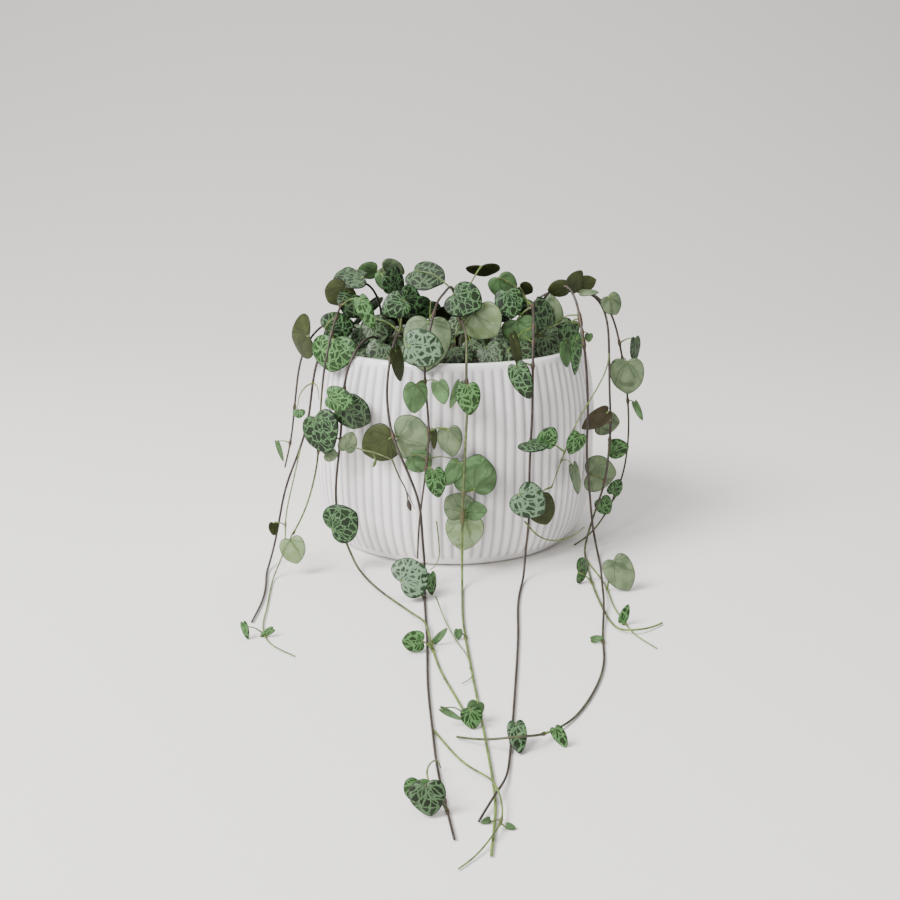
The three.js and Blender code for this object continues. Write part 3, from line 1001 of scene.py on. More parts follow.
STEMS: dict[Line, Stem] = {
    Line.LEFT_SHORT: Stem(
        "left_short", youth=(0, 0.35), route=[
            (-38, -2, ROOT), (-41, -3, 94), (-50, -6, 103), (-60, -11, 102), (-67, -16, 94),
            (-70, -20, 86), (-72, -25, 70), (-74, -29, 52), (-77, -32, 39),
        ],
    ),
    Line.LEFT_LONG: Stem(
        "left_long", youth=(0, 0.2), route=[
            (-36, -10, ROOT), (-39, -13, 94), (-47, -21, 101), (-56, -30, 99), (-61, -35, 88),
            (-63, -38, 76), (-64, -41, 66), (-68, -42, 52), (-75, -46, 34), (-78, -50, 19),
            (-80, -52, 9), (-82, -58, 1.2), (-82, -66, LYING), (-80, -82, LYING), (-79, -100, LYING),
            (-80, -122, LYING),
        ],
        shoots=[
            [
                (-68, -42, 52), (-71, -50, 38), (-74, -57, 24), (-74, -61, 17), (-73, -65, 12),
                (-76, -67, 6), (-78, -70, 1), (-78, -78, SHOOT), (-76, -109, SHOOT), (-75, -127, SHOOT),
                (-70, -143, SHOOT), (-59, -154, SHOOT),
            ],
        ],
    ),
    Line.LEFT_FRONT: Stem(
        "left_front", youth=(0, 0.6), route=[
            (-30, -4, ROOT), (-32, -4, 98), (-35, -6, 115), (-40, -11, 122), (-45, -20, 120),
            (-49, -33, 115), (-52, -43, 107), (-54, -48, 98), (-56, -51, 88), (-58, -55, 65),
            (-59, -57, 50), (-62, -59, 36), (-66, -62, 25), (-70, -64, 18),
        ],
    ),
    Line.LEFT_RUNNER: Stem(
        "left_runner", youth=(0, 0.85), route=[
            (-30, -16, ROOT), (-32, -24, 95), (-35, -37, 101), (-41, -49, 99), (-46, -53, 88),
            (-48, -52, 72), (-50, -51, 53), (-52, -53, 34), (-51, -55, 21), (-47, -58, 11),
            (-43, -62, 2.8), (-39, -70, 0.9), (-31, -88, LYING), (-20, -107, LYING), (-15, -117, 1.4),
            (-11, -126, OVER), (-9, -138, 1.3), (-7, -153, LYING), (-4, -170, LYING), (0, -185, LYING),
            (4, -201, LYING),
        ],
    ),
    Line.MIDDLE_LONG: Stem(
        "middle_long", youth=(0, 0), route=[
            (-20, -14, ROOT), (-21, -18, 94), (-23, -34, 102), (-25, -53, 102), (-27, -65, 93),
            (-28, -68, 80), (-26, -72, 66), (-22, -77.5, 57), (-18, -79, 48), (-14, -78, 36),
            (-13, -79, 22), (-12, -80, 9), (-12, -84, 1.4), (-12, -92, LYING), (-10, -139, LYING),
            (-9, -179, LYING), (-7, -211, LYING), (-5, -238, LYING), (0, -276, LYING),
        ],
        shoots=[
            [
                (-7, -211, LYING), (-3, -221, LYING), (3, -234, LYING), (8, -243, 2.6),
                (12.5, -252, 4.8), (14, -260, 2.6), (14, -268, 1.4), (11, -276, OVER), (7, -283, 0.8),
                (1, -290, SHOOT),
            ],
        ],
    ),
    Line.MIDDLE_ARCH: Stem(
        "middle_arch", youth=(0, 0.3), route=[
            (3, -4, ROOT), (3, -8, 102), (0, -22, 121), (-4, -40, 120), (-7, -56, 118), (-9, -66, 111),
            (-11, -68.5, 103), (-12, -70, 93), (-11, -71, 80), (-10, -75, 65), (-12, -78.5, 46),
            (-14.5, -80.5, 26), (-15, -82, 13),
        ],
    ),
    Line.MIDDLE_GREEN: Stem(
        "middle_green", youth=(0.35, 0.9), route=[
            (2, -12, ROOT), (2, -16, 97), (2, -28, 107), (3, -42, 109), (5, -56, 108), (6, -66, 102),
            (5.5, -71, 93), (6, -73, 78), (5, -75, 54), (4, -76, 24), (4, -77, 9), (4, -82, 1.4),
            (4, -90, LYING), (4, -120, LYING), (7, -172, LYING), (10, -215, LYING), (12, -250, LYING),
            (12, -261, LYING), (10, -284, LYING),
        ],
    ),
    Line.RIGHT_FRONT: Stem(
        "right_front", youth=(0, 0), route=[
            (32, -8, ROOT), (33, -12, 100), (35, -28, 114), (35, -44, 113), (34.5, -55, 105),
            (34, -61, 94), (34, -64, 74), (33, -67, 50), (33, -68, 24), (31.5, -69, 9), (31, -73, 1.6),
            (29.5, -81, 0.8), (27, -101, LYING), (25, -138, LYING), (21, -190, LYING),
            (18, -225, LYING), (16, -243, 1.2), (12, -256, OVER), (7, -267, LYING),
        ],
    ),
    Line.RIGHT_CURL: Stem(
        "right_curl", youth=(0, 0.45), route=[
            (36, -2, ROOT), (38, -4, 102), (44, -10, 117), (51, -16, 122), (55, -22, 117),
            (57, -29, 107), (59, -36, 92), (60.5, -40, 67), (60, -43, 50), (61.5, -42, 36),
            (63, -41, 22), (65, -38, 9), (66.5, -42, 1.6), (66, -56, 1.3), (65, -68, OVER),
            (63.5, -86, 2.4), (62, -104, OVER), (60, -120, 1.6), (58, -134, LYING), (55, -163, LYING),
            (48, -187, LYING), (39, -206, LYING), (31, -216, 2), (25, -225, 5.4), (20, -228, 7),
            (11, -225, 4), (1, -217, 0.9),
        ],
    ),
    Line.RIGHT_FORKED: Stem(
        "right_forked", youth=(0, 0.75), route=[
            (32, 6, ROOT), (35, 6, 100), (45, 5, 112), (57, 3, 116), (67, 0, 114), (72, -5, 104),
            (73, -9, 88), (73, -16, 70), (73, -24, 57), (71, -34, 46), (70, -37, 36), (67, -36, 24),
            (64, -33.5, 12), (61.5, -35, 3), (60.5, -41, 1), (60.5, -48, LYING), (60, -66, LYING),
            (60, -85, LYING), (61, -105, LYING), (63, -124, LYING), (66, -133, 1.3),
            (70, -134.5, OVER), (76, -130, 1.2), (83, -123, LYING),
        ],
        shoots=[
            [
                (60.5, -48, LYING), (61.5, -56, SHOOT), (65.5, -82, SHOOT), (66, -107, SHOOT),
                (68, -120, SHOOT), (70, -133, SHOOT), (77, -147, SHOOT),
            ],
            [
                (73, -9, 88), (72, -17, 88), (69, -31, 84), (62, -45, 76), (54, -54, 66),
                (50, -58, 57), (46, -61, 47), (43, -63, 39),
            ],
        ],
    ),
    Line.RIGHT_OUTER: Stem(
        "right_outer", youth=(0.2, 0.45), route=[
            (30, 13, ROOT), (33, 13, 100), (42, 12, 112), (56, 10, 116), (68, 8, 113), (75, 4, 105),
            (79, 0, 91), (83, -3, 68), (84, -6, 49), (82, -10, 32), (78, -14, 21), (72, -20, 12),
            (66, -25, 5.5), (61, -28, 1.8), (57, -30, LYING),
        ],
    ),
}


@dataclass(frozen=True)
class Tendril:
    """A thin young shoot with no full-grown leaf, some with a bud at the tip."""

    name: str
    route: list[Point]
    radius: float
    youth: tuple[float, float]
    bud: bool = False

    SPACING = 1.2
    THINNING = 0.45  # how much thinner the tip is than the root
    BUD = (0.8, 2.2, 2.6, 1.8)  # thickness from the tip backwards, in the tendril's radius
    JOINT = 0.08  # reach of the brown joint at the root, as a share of the length

    def build(self) -> None:
        """Models the tendril and hands it over."""
        line = smooth_route(self.route, self.SPACING)
        last = len(line) - 1
        radii = [self.radius * (1.0 - self.THINNING * i / last) for i in range(last + 1)]
        if self.bud:
            for back, swell in enumerate(self.BUD):
                radii[last - back] = self.radius * swell
        obj = tube(f"tendril_{self.name}", line, radii)
        share = nearest_on(obj.data, line) / last
        paint(obj.data, "youth", self.youth[0] + (self.youth[1] - self.youth[0]) * share)
        paint(obj.data, "joint", np.exp(-((share / self.JOINT) ** 2)))
        obj.data.materials.append(dress(StemBark()))
        place_piece(obj, [])


TENDRILS = [
    Tendril(
        "right_loop",
        [
            (31, -71, 26), (36, -70, 20), (41, -66, 16), (47, -61, 14), (54, -52, 13),
            (60, -43, 14),
        ],
        0.42, (0.8, 0.9),
    ),
    Tendril(
        "red_bud", [(-26, -71, 54), (-23, -73, 47), (-20, -74, 41), (-19, -75, 36), (-18, -75, 32)],
        0.42, (0.5, 0.15), True,
    ),
    Tendril("red_side", [(-20, -74, 41), (-18, -75, 37), (-16, -76, 33)], 0.25, (0.2, 0.2)),
    Tendril(
        "middle", [(-7, -74, 27), (-6, -75, 18), (-6, -75, 11), (-8, -76, 7), (-10, -77, 6)],
        0.35, (0.8, 0.9),
    ),
    Tendril(
        "left_arm", [(-50, -59, 60), (-41, -65, 57), (-33, -69, 56), (-26, -72, 54)],
        0.42, (0.6, 0.5),
    ),
    Tendril("left_spur", [(-34, -69, 56), (-33, -70, 53), (-34, -70, 50)], 0.3, (0.8, 0.9), True),
    Tendril("floor_hook", [(6, -165, 1.2), (7, -170, 1), (6, -174, 1), (3, -178, 1)], 0.32, (0.8, 1)),
    Tendril(
        "floor_fork", [(-7, -103, 4), (-3, -122, 1.2), (1, -140, 1), (5, -154, 1), (7, -168, 1)],
        0.32, (0.6, 0.9),
    ),
    Tendril(
        "resting_loop", [(-7, -255, 5), (-8, -251, 7), (-7, -243, 6), (-5, -238, 4), (-4, -237, 1)],
        0.36, (0.9, 0.9),
    ),
    Tendril(
        "left_hook", [(-62, -38, 80), (-65, -40, 79), (-68, -41, 75), (-69, -42, 70)],
        0.4, (0.7, 0.9),
    ),
    Tendril("left_hook_side", [(-62, -38, 80), (-60, -42, 79), (-59, -45, 74)], 0.35, (0.7, 0.9)),
]


# ---- leaves -------------------------------------------------------------------------------


def bezier(points: tuple[tuple[float, float], ...], steps: int) -> list[tuple[float, float]]:
    """Points along a cubic curve, its end point left out.

    Args:
        points: Its start, its two handles and its end.
        steps: How many points to give.

    Returns:
        The points.
    """
    found = []
    for step in range(steps):
        t = step / steps
        s = 1 - t
        weights = (s**3, 3 * s * s * t, 3 * s * t * t, t**3)
        x, y = [sum(w * point[axis] for w, point in zip(weights, points)) for axis in (0, 1)]
        found.append((x, y))
    return found


@dataclass
class HeartBlade:
    """The one heart-shaped blade that every leaf is copied from.

    It is 1 wide and 1 long, with its notch at the origin and its tip at -Y. Its thickness is in
    millimetres: it is plump, and thins to a rounded margin.
    """

    half_points: int = 20
    curve_steps: int = 60
    lobe: tuple[tuple[float, float], ...] = ((0, 0), (-0.1, 0.17), (-0.5, 0.2), (-0.5, -0.29))
    side: tuple[tuple[float, float], ...] = ((-0.5, -0.29), (-0.5, -0.66), (-0.2, -0.93), (0, -1))
    centre: tuple[float, float] = (0.0, -0.36)
    rings: tuple[tuple[float, float], ...] = (
        (0.965, 0.3), (0.88, 0.46), (0.74, 0.52), (0.56, 0.52), (0.36, 0.5), (0.16, 0.48),
    )

    def outline(self) -> list[tuple[float, float]]:
        """The margin, evenly spaced, from the notch round the left lobe, the tip and the right.

        Returns:
            The points of the margin on the unit blade.
        """
        curves = [bezier(curve, self.curve_steps) for curve in (self.lobe, self.side)]
        points = np.array([*curves[0], *curves[1], self.side[-1]])
        steps = np.sqrt((np.diff(points, axis=0) ** 2).sum(1))
        along = np.concatenate([[0], np.cumsum(steps)])
        even = np.linspace(0, along[-1], self.half_points + 1)
        left = list(zip(np.interp(even, along, points[:, 0]), np.interp(even, along, points[:, 1])))
        right = [(-x, y) for x, y in left[-2:0:-1]]
        return [*left, *right]

    def rim_share(self, x: np.ndarray, y: np.ndarray) -> np.ndarray:
        """How far each place lies from the centre towards the margin, from 0 to 1.

        Args:
            x: The places' first coordinates on the unit blade.
            y: Their second ones.

        Returns:
            One share for each place.
        """
        edge = np.array(self.outline()) - self.centre
        angles = np.arctan2(edge[:, 0], -edge[:, 1])
        order = angles.argsort()
        reach = np.sqrt((edge**2).sum(1))[order]
        at = np.arctan2(x - self.centre[0], -(y - self.centre[1]))
        away = np.hypot(x - self.centre[0], y - self.centre[1])
        return away / np.interp(at, angles[order], reach, period=2 * math.pi)

    def model(self) -> bpy.types.Object:
        """Models the blade: rings drawn in from the margin, mirrored for the other face.

        Returns:
            The blade.
        """
        deselect()
        edge = self.outline()
        bpy.ops.mesh.primitive_circle_add(
            vertices=len(edge), radius=0.5, fill_type="NGON", location=(0, 0, 0)
        )
        blade = bpy.context.object
        for vertex, (x, y) in zip(blade.data.vertices, edge):
            vertex.co = (x, y, 0.0)
        bpy.ops.object.mode_set(mode="EDIT")
        bpy.ops.mesh.select_all(action="SELECT")
        share, height = 1.0, 0.0
        for next_share, next_height in self.rings:
            bpy.ops.mesh.inset(thickness=0)
            shrink = next_share / share
            bpy.ops.transform.resize(value=(shrink, shrink, 1), center_override=(*self.centre, 0))
            bpy.ops.transform.translate(value=(0, 0, next_height - height))
            share, height = next_share, next_height
        bpy.ops.mesh.poke()
        bpy.ops.mesh.select_all(action="SELECT")
        bpy.ops.mesh.duplicate()
        bpy.ops.transform.resize(value=(1, 1, -1), center_override=(0, 0, 0))
        bpy.ops.mesh.select_all(action="SELECT")
        bpy.ops.mesh.remove_doubles(threshold=1e-5)
        bpy.ops.mesh.normals_make_consistent(inside=False)
        bpy.ops.object.mode_set(mode="OBJECT")
        for name in ("front_face", "back_face"):
            blade.data.materials.append(bpy.data.materials.new(name))
        for face in blade.data.polygons:
            face.material_index = 0 if face.center.z > 0 else 1
        smooth = blade.modifiers.new("smooth", "SUBSURF")
        smooth.levels = smooth.render_levels = 1
        only(blade)
        bpy.ops.object.modifier_apply(modifier=smooth.name)
        bpy.ops.object.shade_smooth()
        blade.name = blade.data.name = "heart_blade"
        return blade


@dataclass(frozen=True)
class Leaf:
    """One leaf with its stalk.

    A leaf is placed by the middle of its blade and sized by its width across the lobes and its
    length from the notch to the tip, in millimetres. roll is which way the tip points seen from
    the front (0 down, 90 to the right), lean is how far the front face tips up, and turn is how
    far it turns to the right, in degrees. front is the look of the face towards the front. A
    leaf with no stem stands on its own long stalk, straight out of the potting mix.
    """

    name: str
    stem: Line | None
    middle: Point
    width: float
    length: float
    roll: float
    lean: float
    turn: float
    front: Skin

    MIDDLE = 0.435  # from the notch to the middle of the blade, as a share of its length
    TUCK = 0.07  # how far the stalk runs into the blade, in the same measure
    STALK = 0.43  # radius of the stalk
    THIN_STALK = 0.3
    BOW = 0.12  # rise of the stalk's bow, as a share of its span
    FOOT, WAIST = 1.25, 0.45  # the stalk is thick at both ends and loses the second in between
    YOUTH = (0.45, 0.9)  # how green stalks are, from 0 to 1
    INWARDS = 0.85  # how far from the pot's middle a leaf with no stem roots, as a share of its place
    SMALL = 8.0  # a leaf narrower than this has a thin stalk and a thin blade
    THIN_BLADE = 0.7
    CUP = 0.012  # fall of the blade's sides, per millimetre squared from the midrib
    DROOP = 0.007  # and of its two ends from its middle
    CLEAR = 0.1  # a resting leaf's lowest point stays this far above the surface, in millimetres
    SEEDS = 50.0  # each leaf's pattern is taken from another place up to this
    BROAD = 0.8  # a leaf wider than this share of its length may be full at its tip
    FULL = (-0.06, 0.1)  # how full, as a share of its width
    TIP, TIP_SPREAD = -0.74, 0.2  # where on the unit blade that is
    LOPSIDED = 0.06  # how far one lobe may hang below the other, as a share of the length
    RIPPLE, RIPPLES = 0.22, 3  # height and number of the margin's waves, on a blade of RIPPLE_SIZE
    RIPPLE_SIZE = 15
    MIDRIB, MIDRIB_WIDTH = 0.16, 0.9  # depth and half-width of the fold along the midrib
    MIDRIB_END = 0.45  # the fold is gone this share of the length below the middle

    def frame(self) -> Matrix:
        """The matrix that carries the flat blade, in millimetres, to its place.

        Returns:
            The matrix.
        """
        turns = ((self.turn, "Z"), (-self.lean, "X"), (90.0, "X"), (self.roll, "Z"))
        place = Matrix.Translation(Vector(self.middle))
        for degrees, axis in turns:
            place = place @ Matrix.Rotation(math.radians(degrees), 4, axis)
        return place

    def notch(self) -> Vector:
        """Where the stalk meets the blade."""
        y = self.MIDDLE * self.length
        return self.frame() @ Vector((0.0, y, self.bend(0.0, y)))

    def bend(self, x: float | np.ndarray, y: float | np.ndarray) -> float | np.ndarray:
        """How far the blade falls back at a place on it."""
        return -self.CUP * x * x - self.DROOP * y * y

    def blade(self, template: bpy.types.Object, heart: HeartBlade) -> bpy.types.Object:
        """Copies the blade and gives it this leaf's size, outline, bend and place.

        Args:
            template: The heart blade to copy.
            heart: Its measures.

        Returns:
            The blade in its place.
        """
        draw = random.Random(self.name)
        blade = copy_of(template, f"blade_{self.name}")
        rows = places(blade.data)
        x, y, z = rows[:, 0].copy(), rows[:, 1].copy(), rows[:, 2].copy()
        rim = heart.rim_share(x, y)
        paint(blade.data, "rim", rim)
        paint(blade.data, "seed", np.full(len(rows), draw.uniform(0, self.SEEDS)))
        full = draw.uniform(*self.FULL) if self.width > self.BROAD * self.length else 0.0
        lobed = draw.uniform(-self.LOPSIDED, self.LOPSIDED)
        x = x * (1 + full * np.exp(-(((y - self.TIP) / self.TIP_SPREAD) ** 2))) * self.width
        y = (y + lobed * x / self.width) * self.length + self.MIDDLE * self.length
        thick = 1.0 if self.width > self.SMALL else self.THIN_BLADE
        wave = np.sin(self.RIPPLES * np.arctan2(x, y) + draw.uniform(0, 2 * math.pi))
        ripple = self.RIPPLE * rim**3 * wave * min(self.width, self.length) / self.RIPPLE_SIZE
        fold = np.exp(-((x / self.MIDRIB_WIDTH) ** 2))
        fold *= np.clip(y / self.length + self.MIDRIB_END, 0, 1)
        midrib = -self.MIDRIB * fold * np.sign(z)
        bent = z * thick + midrib + ripple + self.bend(x, y)
        self.map_flat(blade.data, x, y - self.MIDDLE * self.length)
        put(blade.data, np.stack([x, y, bent], axis=1))
        blade.data.transform(Matrix.Scale(MM, 4) @ self.frame())
        rows = places(blade.data)
        rows[:, 2] += max(0.0, self.CLEAR * MM - rows[:, 2].min())
        put(blade.data, rows)
        return blade

    def map_flat(self, mesh: bpy.types.Mesh, x: np.ndarray, y: np.ndarray) -> None:
        """Maps a blade by its flat place, measured from the notch.

        Args:
            mesh: The blade's mesh.
            x: Its vertices' places across the blade, in millimetres.
            y: Their places along it, from the notch.
        """
        layer = mesh.uv_layers.get(BLADE_UV) or mesh.uv_layers.new(name=BLADE_UV)
        corners = np.zeros(len(mesh.loops), dtype=np.int32)
        mesh.loops.foreach_get("vertex_index", corners)
        flat = np.stack([x[corners], y[corners]], axis=1) / UV_MM
        layer.data.foreach_set("uv", flat.astype(np.float32).ravel())

    def stalk(self, root: Vector) -> bpy.types.Object | None:
        """Models the leaf's stalk, bowed up from its stem to just inside the blade.

        Args:
            root: Where it leaves the stem's centre line.

        Returns:
            The stalk, or None where the blade sits on the stem itself.
        """
        notch = self.notch()
        if (notch - root).length < 1.0:
            return None
        inside = self.frame() @ Vector((0.0, (self.MIDDLE - self.TUCK) * self.length, self.bend(0, 0)))
        middle = (root + notch) / 2 + Vector((0, 0, self.BOW * (notch - root).length))
        line = smooth_route([tuple(p) for p in (root, middle, notch, inside)], 1.0)
        radius = self.STALK if self.width > self.SMALL else self.THIN_STALK
        last = len(line) - 1
        radii = [
            radius * (self.FOOT - self.WAIST * math.sin(math.pi * i / last)) for i in range(last + 1)
        ]
        stalk = tube(f"stalk_{self.name}", line, radii, 1)
        draw = random.Random(self.name)
        paint(stalk.data, "youth", np.full(len(stalk.data.vertices), draw.uniform(*self.YOUTH)))
        return stalk

    def root(self) -> Vector:
        """Where the stalk starts: on its stem, or in the mix below and nearer the middle.

        Returns:
            The place, in millimetres.
        """
        if self.stem is None:
            return Vector((self.middle[0] * self.INWARDS, self.middle[1] * self.INWARDS, ROOT))
        return STEMS[self.stem].nearest(self.notch())

    def build(self, template: bpy.types.Object, heart: HeartBlade) -> None:
        """Models the leaf, colours both faces and the stalk, and hands it over.

        Args:
            template: The heart blade to copy.
            heart: Its measures.
        """
        blade = self.blade(template, heart)
        stalk = self.stalk(self.root())
        blade.data.materials.clear()
        blade.data.materials.append(dress(self.front.value))
        blade.data.materials.append(dress(self.front.back.value))
        if stalk:
            stalk.data.materials.append(dress(StemBark()))
        whole = joined([blade, stalk] if stalk else [blade], f"heart_{self.name}")
        node = f"leaf_{self.name}"
        place_piece(whole, [node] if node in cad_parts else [])


def cluster(where: str, *rows: tuple, first: int = 1) -> list[Leaf]:
    """The leaves of one part of the plant, numbered in order.

    Args:
        where: The part of the plant, which starts the leaves' names.
        *rows: Each leaf's values after its name.
        first: The first leaf's number.

    Returns:
        The leaves.
    """
    return [Leaf(f"{where}_{number:02d}", *row) for number, row in enumerate(rows, first)]


